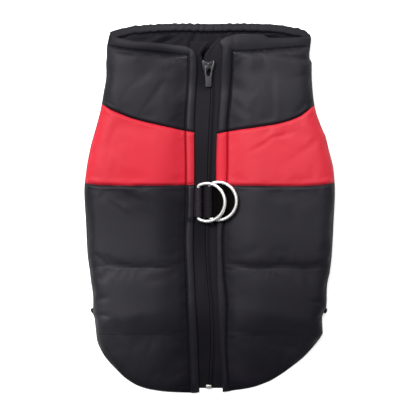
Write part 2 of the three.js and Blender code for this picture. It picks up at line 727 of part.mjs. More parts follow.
function sliderGeometry() {
  const room = TAPE + COIL_ROLL + 2 * SLIDER.clear;
  const top = sliderPlate(-SLIDER.plate, 0);
  const bottom = sliderPlate(-SLIDER.plate - room - SLIDER.plate, -SLIDER.plate - room);
  const wedge = block(0, SLIDER.up - 2.2, -SLIDER.plate - room / 2, SLIDER.wedge, 1.6, room + 1);
  const width = 2 * SLIDER.bowHalf;
  const crown = block(0, 0, SLIDER.bow - SLIDER.bowWall / 2, width, 2 * SLIDER.bowReach, SLIDER.bowWall);
  const legs = [-1, 1].map((end) => {
    const y = end * (SLIDER.bowReach - SLIDER.bowLeg / 2);
    return block(0, y, (SLIDER.bow - 0.2) / 2, width, SLIDER.bowLeg, SLIDER.bow - 0.1);
  });
  let solid = toSolid(top);
  for (const piece of [bottom, wedge, crown, ...legs]) solid = solid.add(toSolid(piece));
  return fromSolid(solid);
}

// Slope of the zip under the slider, where the collar is lifted.
const zipX = (y) => along(PLACKET, "zip", y);
const zipRise = (y) => underside(zipX(y), y) + TAPE + COIL_ROLL;
const slope = Math.atan2(
  zipRise(SLIDER.y + SLIDER.up) - zipRise(SLIDER.y - SLIDER.down),
  SLIDER.up + SLIDER.down,
);
const sliderGroup = new THREE.Group();
sliderGroup.position.set(zipX(SLIDER.y), SLIDER.y, zipRise(SLIDER.y) + SLIDER.clear + SLIDER.plate);
sliderGroup.rotation.x = slope;
jacket.add(sliderGroup);
add(sliderGroup, "zip_slider", sliderGeometry(), SLIDER_METAL);

// Pull tab: an eye round the bow's bar, and a short plain tab that lies down the zip.
const PULL = {
  outline: [
    { y: SLIDER.bar, half: 3.3 },
    { y: -6.4, half: 3.5 },
    { y: -9.6, half: 2.9 },
    { y: -18.4, half: 2.8 },
    { y: -19.2, half: 2.1 },
  ],
  holeHalf: 2.1,
  holeTo: -8,
  thick: 1.3,
  droop: 2, // degrees
};
function pullGeometry() {
  const leftSide = PULL.outline.map((p) => new THREE.Vector2(-p.half, p.y));
  const rightSide = PULL.outline.map((p) => new THREE.Vector2(p.half, p.y)).reverse();
  const s = new THREE.Shape([...leftSide, ...rightSide]);
  const hole = new THREE.Path();
  hole.moveTo(-PULL.holeHalf, -SLIDER.bar);
  hole.lineTo(PULL.holeHalf, -SLIDER.bar);
  hole.lineTo(PULL.holeHalf, PULL.holeTo + 1);
  hole.lineTo(0, PULL.holeTo);
  hole.lineTo(-PULL.holeHalf, PULL.holeTo + 1);
  s.holes.push(hole);
  return slab(s, -PULL.thick / 2, PULL.thick / 2);
}
const pullGroup = new THREE.Group();
pullGroup.position.set(0, 0, SLIDER.barHeight);
pullGroup.rotation.x = THREE.MathUtils.degToRad(PULL.droop);
sliderGroup.add(pullGroup);
add(pullGroup, "zip_pull", pullGeometry(), SLIDER_METAL);

// Bottom stop, clamped across both tapes at the tail hem.
const STOP = { y: -170, halfWidth: 2.7, halfLength: 1.8, height: 1.6 };
const stopHeight = zipRise(STOP.y) + SEAM_GAP + STOP.height / 2;
const stop = block(zipX(STOP.y), STOP.y, stopHeight, 2 * STOP.halfWidth, 2 * STOP.halfLength, STOP.height);
add(jacket, "zip_stop", stop, SLIDER_METAL);

// ---------------------------------------------------------------- D-rings and webbing loops

// The loop of the wire's middle, with the bar on x = 0 and the bow towards +X.
function ringLoop() {
  const points = [];
  const cornerX = RING_CORNER - BAR_BACK;
  const cornerY = Math.sqrt((RING - RING_CORNER) ** 2 - cornerX ** 2);
  const turn = Math.atan2(cornerY, cornerX);
  const arc = (x, y, radius, from, to, steps) => {
    for (let i = 0; i <= steps; i++) {
      const a = mix(from, to, i / steps);
      points.push(new THREE.Vector2(BAR_BACK + x + radius * Math.cos(a), y + radius * Math.sin(a)));
    }
  };
  arc(cornerX, -cornerY, RING_CORNER, -Math.PI, -turn - 0.3, 2);
  arc(0, 0, RING, -turn, turn, 22);
  arc(cornerX, cornerY, RING_CORNER, turn + 0.3, Math.PI, 2);
  return points;
}

// Webbing folded round the bar, its two ends pressed together and leading under the panel.
function loopGeometry(ring) {
  const reach = ring.tailTo - ring.x;
  const toward = Math.sign(reach);
  const tailStart = Math.asin((LOOP_TAIL - LOOP_OUTER) / LOOP_OUTER);
  const s = new THREE.Shape();
  const steps = 14;
  s.moveTo(reach, -LOOP_OUTER);
  for (let i = 0; i <= steps; i++) {
    const a = mix(-Math.PI / 2, tailStart - 2 * Math.PI, i / steps);
    s.lineTo(toward * LOOP_OUTER * Math.cos(a), LOOP_OUTER * Math.sin(a));
  }
  s.lineTo(reach, LOOP_TAIL - LOOP_OUTER);
  const eye = new THREE.Path();
  eye.absarc(0, 0, LOOP_INNER, 0, 2 * Math.PI);
  s.holes.push(eye);
  const settings = { depth: 2 * WEBBING_HALF, bevelEnabled: false, curveSegments: 6 };
  const geometry = new THREE.ExtrudeGeometry(s, settings).rotateX(Math.PI / 2);
  return geometry.translate(ring.x, ring.y + WEBBING_HALF, BAR_HEIGHT);
}

for (const ring of RINGS) {
  const group = new THREE.Group();
  group.position.set(ring.x, ring.y, BAR_HEIGHT);
  group.rotation.y = -THREE.MathUtils.degToRad(ring.tilt);
  jacket.add(group);
  add(group, ring.name, closedTube(ringLoop(), WIRE, 8), RING_STEEL);
  add(jacket, ring.loop, loopGeometry(ring), BLACK_WEBBING);
}

export default jacket;
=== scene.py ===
import math
import bpy
import numpy as np
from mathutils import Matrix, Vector


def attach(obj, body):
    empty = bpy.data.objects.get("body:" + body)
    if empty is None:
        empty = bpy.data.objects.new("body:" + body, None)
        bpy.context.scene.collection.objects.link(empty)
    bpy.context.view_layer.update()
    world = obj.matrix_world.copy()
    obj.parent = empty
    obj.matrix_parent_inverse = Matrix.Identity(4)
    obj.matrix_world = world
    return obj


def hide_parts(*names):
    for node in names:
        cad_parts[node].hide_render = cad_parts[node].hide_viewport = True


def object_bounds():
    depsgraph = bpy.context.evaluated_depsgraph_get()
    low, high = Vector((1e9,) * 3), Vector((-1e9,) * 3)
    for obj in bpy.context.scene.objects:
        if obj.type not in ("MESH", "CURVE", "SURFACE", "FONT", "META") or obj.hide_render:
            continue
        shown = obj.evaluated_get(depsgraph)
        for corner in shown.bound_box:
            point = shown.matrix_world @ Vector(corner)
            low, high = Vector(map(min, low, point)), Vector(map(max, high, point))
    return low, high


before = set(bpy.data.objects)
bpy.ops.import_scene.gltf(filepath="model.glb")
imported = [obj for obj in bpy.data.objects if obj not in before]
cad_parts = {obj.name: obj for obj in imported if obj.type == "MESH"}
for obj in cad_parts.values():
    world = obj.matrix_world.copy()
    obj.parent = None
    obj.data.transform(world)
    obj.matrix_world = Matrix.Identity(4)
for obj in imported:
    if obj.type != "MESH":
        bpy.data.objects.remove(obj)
cad_low, cad_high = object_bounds()


# ---------------------------------------------------------------- studio
# A pale floor under the jacket, a large soft light from the upper left and a weaker fill. The camera
# looks straight down on the back of the jacket, with the collar at the top of the picture.

MM = 0.001
LENS = 85
SENSOR = 36
CAMERA_AT = (-1.75 * MM, 2 * MM)
VIEW = 1.1202 * (cad_high[1] - cad_low[1])  # width of the view at the height of the cloth
CLOTH_HEIGHT = 10 * MM


def deselect():
    bpy.ops.object.select_all(action="DESELECT")


class Material:
    """A new material of procedural nodes."""

    def __init__(self, name, inputs={}):
        self.data = bpy.data.materials.new(name)
        self.data.use_nodes = True
        self.shader = self.data.node_tree.nodes["Principled BSDF"]
        self.put(inputs)

    def put(self, inputs, node=None):
        """Set inputs of a node, or of the shader: each to a value or to the output that feeds it."""
        for name, value in inputs.items():
            socket = (node or self.shader).inputs[name]
            if isinstance(value, bpy.types.NodeSocket):
                self.data.node_tree.links.new(value, socket)
            else:
                socket.default_value = value

    def node(self, kind, inputs, **settings):
        node = self.data.node_tree.nodes.new("ShaderNode" + kind)
        for name, value in settings.items():
            setattr(node, name, value)
        self.put(inputs, node)
        return node

    def pattern(self, kind, inputs, **settings):
        """A texture on the object's coordinates."""
        place = self.node("TexCoord", {}).outputs["Object"]
        return self.node(kind, {"Vector": place, **inputs}, **settings).outputs["Fac"]

    def bump(self, height, strength, depth, over=None):
        """Give the surface a bump, over an earlier one if there is one."""
        inputs = {"Height": height, "Strength": strength, "Distance": depth * MM}
        if over:
            inputs["Normal"] = over
        normal = self.node("Bump", inputs).outputs["Normal"]
        self.put({"Normal": normal})
        return normal

    def ramp(self, factor, start, dark, end, light):
        ramp = self.node("ValToRGB", {"Fac": factor})
        for stop, position, colour in zip(ramp.color_ramp.elements, (start, end), (dark, light)):
            stop.position = position
            stop.color = (*colour, 1)
        return ramp.outputs["Color"]

    def gloss(self, factor, low, high):
        roughness = self.node("MapRange", {"Value": factor, "To Min": low, "To Max": high})
        self.put({"Roughness": roughness.outputs["Result"]})

    def ribs(self, directions, distortion, strength, depth):
        """Woven ribs that run each way in turn."""
        normal = None
        for direction, scale in directions:
            rib = self.pattern("TexWave", {"Scale": scale, "Distortion": distortion}, bands_direction=direction)
            normal = self.bump(rib, strength, depth, normal)


deselect()
camera_height = CLOTH_HEIGHT + VIEW * LENS / SENSOR
bpy.ops.object.camera_add(location=(*CAMERA_AT, camera_height), rotation=(0, 0, 0))
camera = bpy.context.object
camera.data.lens = LENS
camera.data.sensor_width = SENSOR
camera.data.clip_start = 0.01
bpy.context.scene.camera = camera

bpy.ops.mesh.primitive_plane_add(size=12, location=(0, 0, 0))
floor = bpy.context.object
floor.name = "studio_floor"
floor_white = Material("floor_white", {
    "Base Color": (0.93, 0.93, 0.93, 1),
    "Emission Color": (1, 1, 1, 1),
    "Emission Strength": 0.68,  # a light table
    "Roughness": 0.9,
    "Specular IOR Level": 0.1,
})
floor.data.materials.append(floor_white.data)

LIGHTS = [
    {"name": "key", "at": (-0.37, 0.57, 0.95), "size": 0.6, "power": 18},
    {"name": "fill", "at": (0.7, 1.0, 1.0), "size": 0.9, "power": 5},
]
for light in LIGHTS:
    bpy.ops.object.light_add(type="AREA", location=light["at"])
    lamp = bpy.context.object
    lamp.name = light["name"]
    lamp.data.size = light["size"]
    lamp.data.energy = light["power"]
    lamp.rotation_euler = (-Vector(light["at"])).to_track_quat("-Z", "Y").to_euler()

world = bpy.data.worlds.new("studio")
world.use_nodes = True
backdrop = world.node_tree.nodes["Background"].inputs
backdrop["Color"].default_value = (1, 1, 1, 1)
backdrop["Strength"].default_value = 0.15
bpy.context.scene.world = world
bpy.context.scene.view_settings.view_transform = "Standard"
bpy.context.scene.view_settings.look = "None"


# ---------------------------------------------------------------- padded back, six panels
# Coated polyester over wadding and lining, in six panels: collar yoke, red band and quilted back,
# left and right of the zip. Each edge beside the zip and along the collar is turned and stitched
# down, so it stands up as a soft roll. The panels are sewn together and quilted across in channels.

SEAM_GAP = 0.3
LAYER = 5.4  # underside of the back where it lies on the chest layer
STITCHED = 3.6
FREE_EDGE = 2.6
ROLL = 1.9
RIM_EDGE = 4.0
RIM_ROLL = 0.8
YOKE_PUFF = 9.2
BACK_PUFF = 11.2
HEM_PUFF = 6.2
VALLEY_REACH = 19
YOKE_VALLEY = 12
RIM_REACH = 5
FOLD_ROUND = 18
HEM_ROUND = 13
TURNED = 1.2  # rounding of a turned edge
RIM_TURNED = 0.7
CHANNELS = {"left": (-54.2, -119), "right": (-55, -120)}
CHANNEL_DEPTH = {"left": (0.75, 2.5), "right": (1.7, 1.8)}
CHANNEL_RISE = {"left": (0.9, 0.25), "right": (0.55, 0.05)}  # how far the panel comes up again below
CHANNEL_EASE = {"left": 0.7, "right": 0.2}  # how far the channels ease towards the side fold
CHANNEL_ABOVE = (6, 10)  # the wadding above the lower channel sags towards it
CHANNEL_BELOW = (12, 8)
CHANNEL_FADE = 0.25
SEAM_DIP = 0.9
SEAM_WIDTH = 1.8
STITCH_PITCH = 3.1
MOUTH_LIFT = 10
MOUTH_FROM = 112
MOUTH_TO = 160
NECK_HALF = 97
SEED = {"left": 11, "right": 47}
BELLY_HEM = -93
BELLY_RISE = 14
BELLY_HALF = 112
BELLY_DROP = 68  # the back comes down to the floor over this length, past the belly hem
TAPE = 1
TAPE_TUCK = 5.5
TAPE_ROOM = TAPE + 2 * SEAM_GAP
WEBBING_ROOM = 1.9
WEBBING_SPAN = (-7.4, 22)  # the two webbing loops reach over these heights

# The zip and the panels' edges beside it: x at each height y.
PLACKET = {
    "at": [-173, -125, -92, -64, -30, 5, 40, 80, 112, 138, 151, 158, 166],
    "left_groove": [-18.7, -20.5, -21.6, -22.4, -23.8, -22.9, -22.8, -23.4, -21.6, -20.3, -20.6, -21, -21],
    "left_edge": [-10, -11.8, -13.5, -14.8, -16, -15.2, -14.8, -15, -13.6, -12.4, -12.6, -13, -13.4],
    "zip": [-1.2, 1, 0, -2.6, -4, -3.2, -2, -0.6, 0.8, -1.4, -1.4, -1.4, -1.4],
    "right_edge": [12.2, 9.2, 7.2, 6, 5.8, 6.2, 6, 7.2, 9.4, 10.4, 11, 8.4, 5.2],
    "right_groove": [18.6, 16.2, 16.7, 14.2, 12.6, 15, 17, 17.2, 20, 21.6, 21.8, 21.8, 21.8],
}
# The side folds: distance of each from the middle, at each height y.
FOLD_LINE = {
    "at": [-118, -110, -104, -98, -92, -84, -76, -69, -60, -42, -10, 18, 37, 61, 70, 80, 98, 112,
           130, 140, 147, 156, 165, 170],
    "left": [109.2, 110, 110.6, 112.2, 112, 112, 112.8, 114, 115, 117.4, 119, 120.5, 118.8, 114.4, 112, 109.1,
             104.5, 102.1, 99.4, 99.6, 99.1, 98.8, 97.2, 96],
    "right": [108.6, 108, 107.6, 109.3, 111.8, 112.2, 112.2, 113, 115, 117.1, 118.8, 120, 118.9, 113.4, 111.2, 107,
              100.9, 98.9, 97.8, 97.8, 95.4, 96.3, 97.2, 96],
}
# Edges and seams that run across: y at each share of the way from the zip (0) to the side fold (1).
STRIP_SHARE = 0.1
RIM = {
    "at": [0, 0.02, 0.06, 0.13, 0.25, 0.42, 0.53, 0.7, 0.85, 1],
    "left": [143.5, 149.2, 152.8, 155.6, 157, 159, 160, 161.2, 164, 168],
    "right": [156, 160.4, 164, 166.4, 167.2, 166.8, 163.8, 164.2, 165, 165.4],
}
RIM_GROOVE = {
    "at": [0.1, 0.3, 0.5, 0.75, 1],
    "left": [146.2, 148.4, 150.6, 153, 157.6],
    "right": [150.4, 151, 152.4, 154.3, 156.6],
}
YOKE_SEAM = {
    "at": [0, 0.1, 0.35, 0.6, 0.8, 0.9, 1],
    "left": [74.2, 75.7, 80.5, 86, 92.4, 96.3, 101.8],
    "right": [73, 75, 78.4, 82.4, 88.5, 94, 100.6],
}
BAND_SEAM = {
    "at": [0, 0.3, 0.6, 0.85, 1],
    "left": [24.5, 23.4, 23.2, 23.8, 26],
    "right": [24.2, 23.3, 22.7, 23.6, 26.2],
}
HEM = {
    "at": [0, 0.06, 0.15, 0.3, 0.48, 0.6, 0.72, 0.82, 0.9, 0.96, 0.99, 1],
    "left": [-175.6, -176.3, -176.1, -175.5, -173.2, -169.6, -162.4, -152.6, -143.7, -134, -126, -119],
    "right": [-175.4, -175, -173.9, -171.6, -165.6, -158.8, -150.2, -141.9, -133, -125.2, -120.3, -117.4],
}


def by_column(names, rows):
    """A table's rows, each value under its column's name."""
    return [dict(zip(names.split(), row)) for row in rows]


# Creases listed one by one: a soft ridge (height above 0) or trough along a line through x, y.
CREASES = by_column("x y angle length width height", [
    # the large ones, which the solids have too
    (57, 70, 30, 16, 4, 0.5),
    (88, 54, 36, 22, 6, -0.3),
    (-54, 124, 40, 12, 7, 0.35),
    (-58, 143, 14, 16, 5, -0.4),
    (84, 144, -6, 16, 3, -1.0),
    (-76, 12, -24, 15, 4.5, -1.1),
    (-88, -112, -58, 13, 5, -1.1),
    (38, -40, 20, 13, 4, -0.35),
    # finer ones
    (50, 62, 33, 12, 2.2, -0.5),
    (70, 71.5, 15, 13, 1.8, -0.45),
    (-66, 22, -10, 8, 2.2, -0.6),
    (-86, 6, -34, 12, 3, 0.5),
    (-58, 8, -62, 9, 3, -0.4),
    (-77, 150, -5, 9, 1.7, -0.9),
    (-60, 146.5, -3, 9, 1.6, -0.8),
    (90, 128, 14, 10, 3, -0.4),
    (30, -34, 34, 8, 2.4, 0.15),
    (66, -60, -14, 12, 3.4, 0.35),
    (-48, -66, 12, 14, 4, -0.4),
    (-104, -84, 8, 8, 2.6, -0.4),
    (-105, -99, -10, 8, 2.6, -0.4),
    (105, -88, -8, 8, 2.4, -0.7),
    (105, -103, 12, 8, 2.4, -0.8),
])


def mix(a, b, t):
    return a + (b - a) * t


def bell(distance, width):
    return np.exp(-((distance / width) ** 2))


def smooth(start, end, value):
    t = np.clip((value - start) / (end - start), 0, 1)
    return t * t * (3 - 2 * t)


def rounded(distance, radius):
    t = np.clip(distance / radius, 0, 1)
    return np.sqrt(1 - (1 - t) ** 2)


def along(table, column, at):
    """A smooth curve through a table's column that never overshoots its rows."""
    rows = np.array(table["at"], float)
    values = np.array(table[column], float)
    slope = np.diff(values) / np.diff(rows)
    before, after = slope[:-1], slope[1:]
    same_way = before * after > 0
    inner = np.where(same_way, 2 * before * after / np.where(same_way, before + after, 1), 0)
    tangent = np.concatenate([slope[:1], inner, slope[-1:]])
    i = np.clip(np.searchsorted(rows, at, side="right") - 1, 0, len(rows) - 2)
    h = rows[i + 1] - rows[i]
    t = np.clip((at - rows[i]) / h, 0, 1)
    return (
        values[i] * (2 * t**3 - 3 * t**2 + 1)
        + values[i + 1] * (3 * t**2 - 2 * t**3)
        + tangent[i] * h * (t**3 - 2 * t**2 + t)
        + tangent[i + 1] * h * (t**3 - t**2)
    )


def on_fold(fold, x, y):
    """How far x, y lie along a fold's line from its middle, and how far off the line."""
    angle = math.radians(fold["angle"])
    run = (x - fold["x"]) * math.cos(angle) + (y - fold["y"]) * math.sin(angle)
    off = (y - fold["y"]) * math.cos(angle) - (x - fold["x"]) * math.sin(angle)
    return run, off


def uneven(s, length, seed):
    """Waves along s that are never quite alike, from about -1 to 1."""
    random = np.random.RandomState(seed)
    total = 0
    for _ in range(5):
        wave = length * random.uniform(0.6, 1.8)
        total = total + random.uniform(0.4, 1) * np.sin(2 * np.pi * (s / wave + random.uniform(0, 1)))
    return total / 2


class Half:
    """One half of the back, left or right of the zip."""

    def __init__(self, name, sign):
        self.name, self.sign = name, sign
        shares = np.linspace(0, 1, 81)
        hem_y = along(HEM, name, shares)
        hem_x = self.x_at(shares, hem_y)
        fold_y = np.linspace(hem_y[-1], 180, 60)[1:]
        fold_x = sign * along(FOLD_LINE, name, fold_y)
        self.outline = np.stack([np.append(hem_x, fold_x), np.append(hem_y, fold_y)], 1)

    def edge(self, y):
        return along(PLACKET, self.name + "_edge", y)

    def groove(self, y):
        return along(PLACKET, self.name + "_groove", y)

    def x_at(self, share, y):
        edge, groove = self.edge(y), self.groove(y)
        fold = self.sign * along(FOLD_LINE, self.name, y)
        strip = mix(edge, groove, share / STRIP_SHARE)
        panel = mix(groove, fold, (share - STRIP_SHARE) / (1 - STRIP_SHARE))
        return np.where(share < STRIP_SHARE, strip, panel)

    def to_outline(self, x, y):
        nearest = np.full(np.shape(x), 1e9)
        for a, b in zip(self.outline[:-1], self.outline[1:]):
            run = b - a
            t = np.clip(((x - a[0]) * run[0] + (y - a[1]) * run[1]) / (run @ run), 0, 1)
            nearest = np.minimum(nearest, np.hypot(x - a[0] - t * run[0], y - a[1] - t * run[1]))
        return nearest


LEFT, RIGHT = Half("left", -1), Half("right", 1)


def belly_hem(x):
    return BELLY_HEM + BELLY_RISE * np.maximum(0, 1 - (x / BELLY_HALF) ** 2)


def underside(x, y):
    hem = belly_hem(x)
    at_zip, at_sides = smooth(MOUTH_FROM, MOUTH_TO, y), 0.55 * smooth(128, 170, y) + 0.4 * smooth(90, 180, y)
    lift = mix(at_zip, at_sides, smooth(16, 46, np.abs(x)))
    mouth = np.maximum(0, 1 - (x / NECK_HALF) ** 2) * lift
    return LAYER * smooth(hem - BELLY_DROP, hem - 6, y) + MOUTH_LIFT * mouth


def webbing_under(y):
    start, end = WEBBING_SPAN
    return smooth(start - 3.5, start - 0.5, y) * (1 - smooth(end + 0.5, end + 3.5, y))


def tuck(half, x, y):
    inward = half.sign * (x - half.edge(y))
    under = 1 - smooth(TAPE_TUCK + 1, TAPE_TUCK + 4, inward)
    return under * (TAPE_ROOM + WEBBING_ROOM * webbing_under(y))


def creases(x, y):
    total = 0
    for fold in CREASES:
        run, off = on_fold(fold, x, y)
        bend = 0.004 * run**2  # no crease runs quite straight
        total = total + fold["height"] * bell(run, fold["length"]) * bell(off - bend, fold["width"])
    return total


def loft(half, share, x, y, fine=1):
    """Height of the padded outside above its underside. fine adds what only shows from close by."""
    seed = SEED[half.name]
    edge, groove = half.edge(y), half.groove(y)
    rim = along(RIM, half.name, share)
    rim_groove = along(RIM_GROOVE, half.name, share)
    from_edge = half.sign * (x - edge)
    from_rim = rim - y
    strip, band = np.abs(groove - edge), rim - rim_groove
    roll = np.maximum(0, np.minimum(from_edge / strip, from_rim / band))
    inside = np.minimum(from_edge - strip, from_rim - band)  # past the line of stitches
    beside_zip = from_edge - strip < from_rim - band
    line = np.where(beside_zip, y, x)

    at_zip = smooth(-0.35, 0.35, from_rim / band - from_edge / strip)
    free, hump = mix(RIM_EDGE, FREE_EDGE, at_zip), mix(RIM_ROLL, ROLL, at_zip)
    rolled = mix(free, STITCHED, roll) + hump * np.sin(np.pi * np.minimum(roll, 1)) ** mix(1.1, 0.5, at_zip)
    rolled = rolled + WEBBING_ROOM * webbing_under(y) * (1 - smooth(0.55, 0.95, roll))
    puff = mix(BACK_PUFF, YOKE_PUFF, smooth(0, 90, y)) - (BACK_PUFF - HEM_PUFF) * (1 - smooth(-168, -112, y))
    reach = mix(VALLEY_REACH, YOKE_VALLEY, smooth(20, 80, y)) + 5 * (1 - smooth(-130, -60, y))
    valley = 1 - bell(np.maximum(0, from_edge - strip + 1.5), reach)
    collar = 1 - np.exp(-np.maximum(0, from_rim - band) / RIM_REACH)
    panel = STITCHED + (puff - STITCHED) * valley * collar + creases(x, y) * valley * collar
    hem = belly_hem(x)
    panel = panel + LAYER * (smooth(hem - 48, hem - 13, y) - smooth(hem - BELLY_DROP, hem - 6, y)) * valley
    start = mix(0.5, 1, smooth(0, CHANNEL_FADE, share - STRIP_SHARE))
    for k, channel in enumerate(CHANNELS[half.name]):
        off = y - channel - 0.8 * uneven(x, 60, seed + k)
        rise = CHANNEL_RISE[half.name][k]
        dip = np.where(off > 0, bell(off, CHANNEL_ABOVE[k]), mix(1, bell(off, CHANNEL_BELOW[k]), rise))
        outer = 1 - CHANNEL_EASE[half.name] * smooth(0.6, 1, share)
        panel = panel - CHANNEL_DEPTH[half.name][k] * valley * start * outer * dip
        tug = uneven(x, 16, seed + 5 + k) * bell(np.abs(off) - 7, 6)
        panel = panel + fine * valley * start * (0.1 * tug - 0.14 * bell(off, 1.4))
    height = np.where(roll < 1, rolled, panel)

    pull = np.exp(-np.abs(inside) / 9) * (1 - np.exp(-np.abs(inside) / 2.5))
    height = height + fine * 0.18 * uneven(line, 19, seed + 9) * pull
    height = height - fine * 1.1 * bell(inside, 0.9)
    height = height + fine * 0.13 * np.cos(2 * np.pi * line / STITCH_PITCH) * bell(inside, 1.7)
    for k, seam in enumerate((YOKE_SEAM, BAND_SEAM)):
        off = y - along(seam, half.name, share)
        height = height - SEAM_DIP * bell(off, SEAM_WIDTH) - fine * 0.8 * bell(off, 0.7)
        tug = np.exp(-np.abs(off) / 10) * (1 - np.exp(-np.abs(off) / 3))
        height = height + fine * 0.2 * uneven(x, 21, seed + 20 + k) * tug

    round_over = mix(HEM_ROUND, FOLD_ROUND, smooth(-150, -100, y))
    to_outline = half.to_outline(x, y)
    height = mix(0.5, height, np.sqrt(1 - np.maximum(0, 1 - to_outline / round_over) ** 3))
    turned = np.minimum(rounded(from_edge + 0.02, TURNED), rounded(from_rim + 0.02, RIM_TURNED))
    floor_of = tuck(half, x, y) + 0.25
    return floor_of + np.maximum(height - floor_of, 0.15) * turned


def spread(*stops):
    """Shares from the first stop to the last, each stretch with its own number of steps."""
    shares = [stops[0][0]]
    for (start, _), (end, steps) in zip(stops[:-1], stops[1:]):
        shares += [mix(start, end, (k + 1) / steps) for k in range(steps)]
    return np.array(shares)


# Painted light and shade on the coating, as its shine against that of new cloth, at each height y, on the
# strip beside the zip, next to it, halfway across and at the side fold. Turned edges get painted shade.
SHINE = {
    "at":         (-168, -150, -125, -108, -90, -75, -45, -15, 12, 95, 120, 140, 160),
    "left_strip": (0.55, 0.55, 0.8, 0.9, 1.15, 1.2, 1.15, 1.1, 1.1, 1.1, 1.5, 1.7, 1),
    "left_in":    (0.25, 0.4, 0.55, 0.95, 1.15, 1.1, 0.85, 0.72, 0.7, 0.85, 1.65, 1.6, 1),
    "left_mid":   (0.65, 1.1, 1.5, 1.65, 1.45, 1.3, 1.25, 1.05, 0.65, 0.75, 0.9, 0.5, 0.75),
    "left_out":   (0.9, 1.2, 2.7, 2.6, 1.95, 1.8, 1.65, 1.2, 1, 0.75, 1, 0.9, 0.9),
    "right_strip": (0.5, 0.5, 0.75, 0.85, 0.9, 0.9, 0.85, 0.85, 0.8, 0.75, 1, 1.2, 1),
    "right_in":   (0.3, 0.6, 1, 1.3, 1.45, 1.15, 0.9, 1, 0.8, 0.7, 1.1, 1.1, 1.2),
    "right_mid":  (0.4, 0.5, 0.85, 0.95, 0.85, 0.88, 0.95, 1.1, 1, 1.05, 1.45, 1.3, 1),
    "right_out":  (0.75, 0.8, 0.9, 0.78, 0.66, 0.72, 0.9, 1.1, 1, 0.9, 1.2, 1.2, 1),
}
# Painted light and shade as shares of new cloth's shine: across the strip, on the red band and on the rim band.
STRIP_SHINE = {"left": (1.55, 0.8), "right": (1.3, 0.75)}  # at the free edge and at the stitches
BAND_SHINE = {"left": (1.25, 0.8, 1.05), "right": (1.2, 1.35, 1.45)}  # next to the strip, halfway, at the fold
BAND_TONE = {"left": -0.04, "right": 0}
RIM_SHINE = {"left": 0.65, "right": 0.95}
# Painted shade along the stitched groove beside the zip, on the red band.
SEAM_SHADE = {"left": 1, "right": 0.6}  # how dark the stitched line beside the zip is in the red
# Painted shade in the valley past the stitched strip, as lost shine: how much, at each height y.
VALLEY_SHADE = {
    "at":    (-170, -140, -112, -90, -60, -22, 10, 28, 45, 65),
    "left":  (0.3, 0.3, 0.25, 0.5, 0.5, 0.45, 0.45, 0.6, 0.2, 0),
    "right": (0.3, 0.2, 0.35, 0.45, 0.4, 0.5, 0.4, 0, 0, 0),
}
# Patches of painted shade, as lost shine: fold shadows under the collar's rim and on the upper left back, and a
# highlight taken off the right collar's corner.
PAINTED_SHADE_PATCHES = by_column("x y angle length width loss", [
    (-80, 150, -3, 9, 1.4, 0.4),
    (-60, 148, -4, 9, 1.7, 0.5),
    (-38, 146, -6, 15, 5, 0.5),
    (78, 147, 2, 16, 2.2, 0.3),
    (42, 150, 3, 18, 2.6, 0.35),
    (7, 158, 60, 8, 5, 0.3),
    (-82, 12, -14, 13, 4.5, 0.35),
    (-66, 4, -22, 14, 5, 0.35),
])


def wear_and_painted_light(half, name, share, x, y):
    """Painted light and shade on a panel's outside: how its shine and tone differ from new cloth, as shares of
    them.
    """
    strip, near, middle, far = (along(SHINE, f"{half.name}_{k}", y) for k in ("strip", "in", "mid", "out"))
    if name == "band":
        near, middle, far = BAND_SHINE[half.name]
    shine = mix(mix(near, middle, smooth(0.12, 0.5, share)), far, smooth(0.5, 0.93, share))
    at_edge, at_stitches = STRIP_SHINE[half.name]
    strip = strip * mix(at_edge, at_stitches, np.clip(share / STRIP_SHARE, 0, 1))
    shine = mix(strip, shine, smooth(0.09, 0.13, share))
    edge = half.edge(y)
    width = np.abs(half.groove(y) - edge)
    rim = along(RIM, half.name, share)
    depth = rim - along(RIM_GROOVE, half.name, share)
    from_edge, from_rim = half.sign * (x - edge), rim - y
    past = from_edge - width
    # Painted shade in the valley past the strip.
    shine = shine * (1 - along(VALLEY_SHADE, half.name, y) * bell(past - 3, 4.5) * smooth(-0.5, 1, past))
    # Patches of painted shade.
    for patch in PAINTED_SHADE_PATCHES:
        run, off = on_fold(patch, x, y)
        shine = shine * (1 - patch["loss"] * bell(run, patch["length"]) * bell(off, patch["width"]))
    # Painted shade at the top of the collar's rim band, and painted light further down towards its stitches.
    in_rim = (1 - smooth(0.9, 1.3, from_rim / depth)) * smooth(-0.3, 0.3, from_edge / width - from_rim / depth)
    down_rim = np.clip(from_rim / depth, 0, 1.2)
    shine = shine * mix(1, RIM_SHINE[half.name] * (1 + 1.1 * down_rim**1.5), in_rim)
    # Painted shade round the outline: less shine and a darker tone at the very edge.
    outline = half.to_outline(x, y)
    shine = shine * (1 - 0.78 * bell(outline, 1.8))
    tone = np.full_like(shine, BAND_TONE[half.name] if name == "band" else 0) - 0.25 * bell(outline, 1.3)
    # Painted shade along the stitched groove beside the zip on the red band.
    if name == "band":
        line = bell(from_edge - width, 0.55)
        tone, shine = tone - SEAM_SHADE[half.name] * line, shine * (1 - 0.8 * SEAM_SHADE[half.name] * line)
    return shine - 1, tone


def paint(piece, flipped, **layers):
    """Store values for each point of a wall's outer net; its inner net takes none."""
    for name, values in layers.items():
        if flipped:
            values = values[:, ::-1]
        layer = piece.data.attributes.new(name, "FLOAT", "POINT")
        layer.data.foreach_set("value", np.concatenate([values.ravel(), np.zeros(values.size)]))


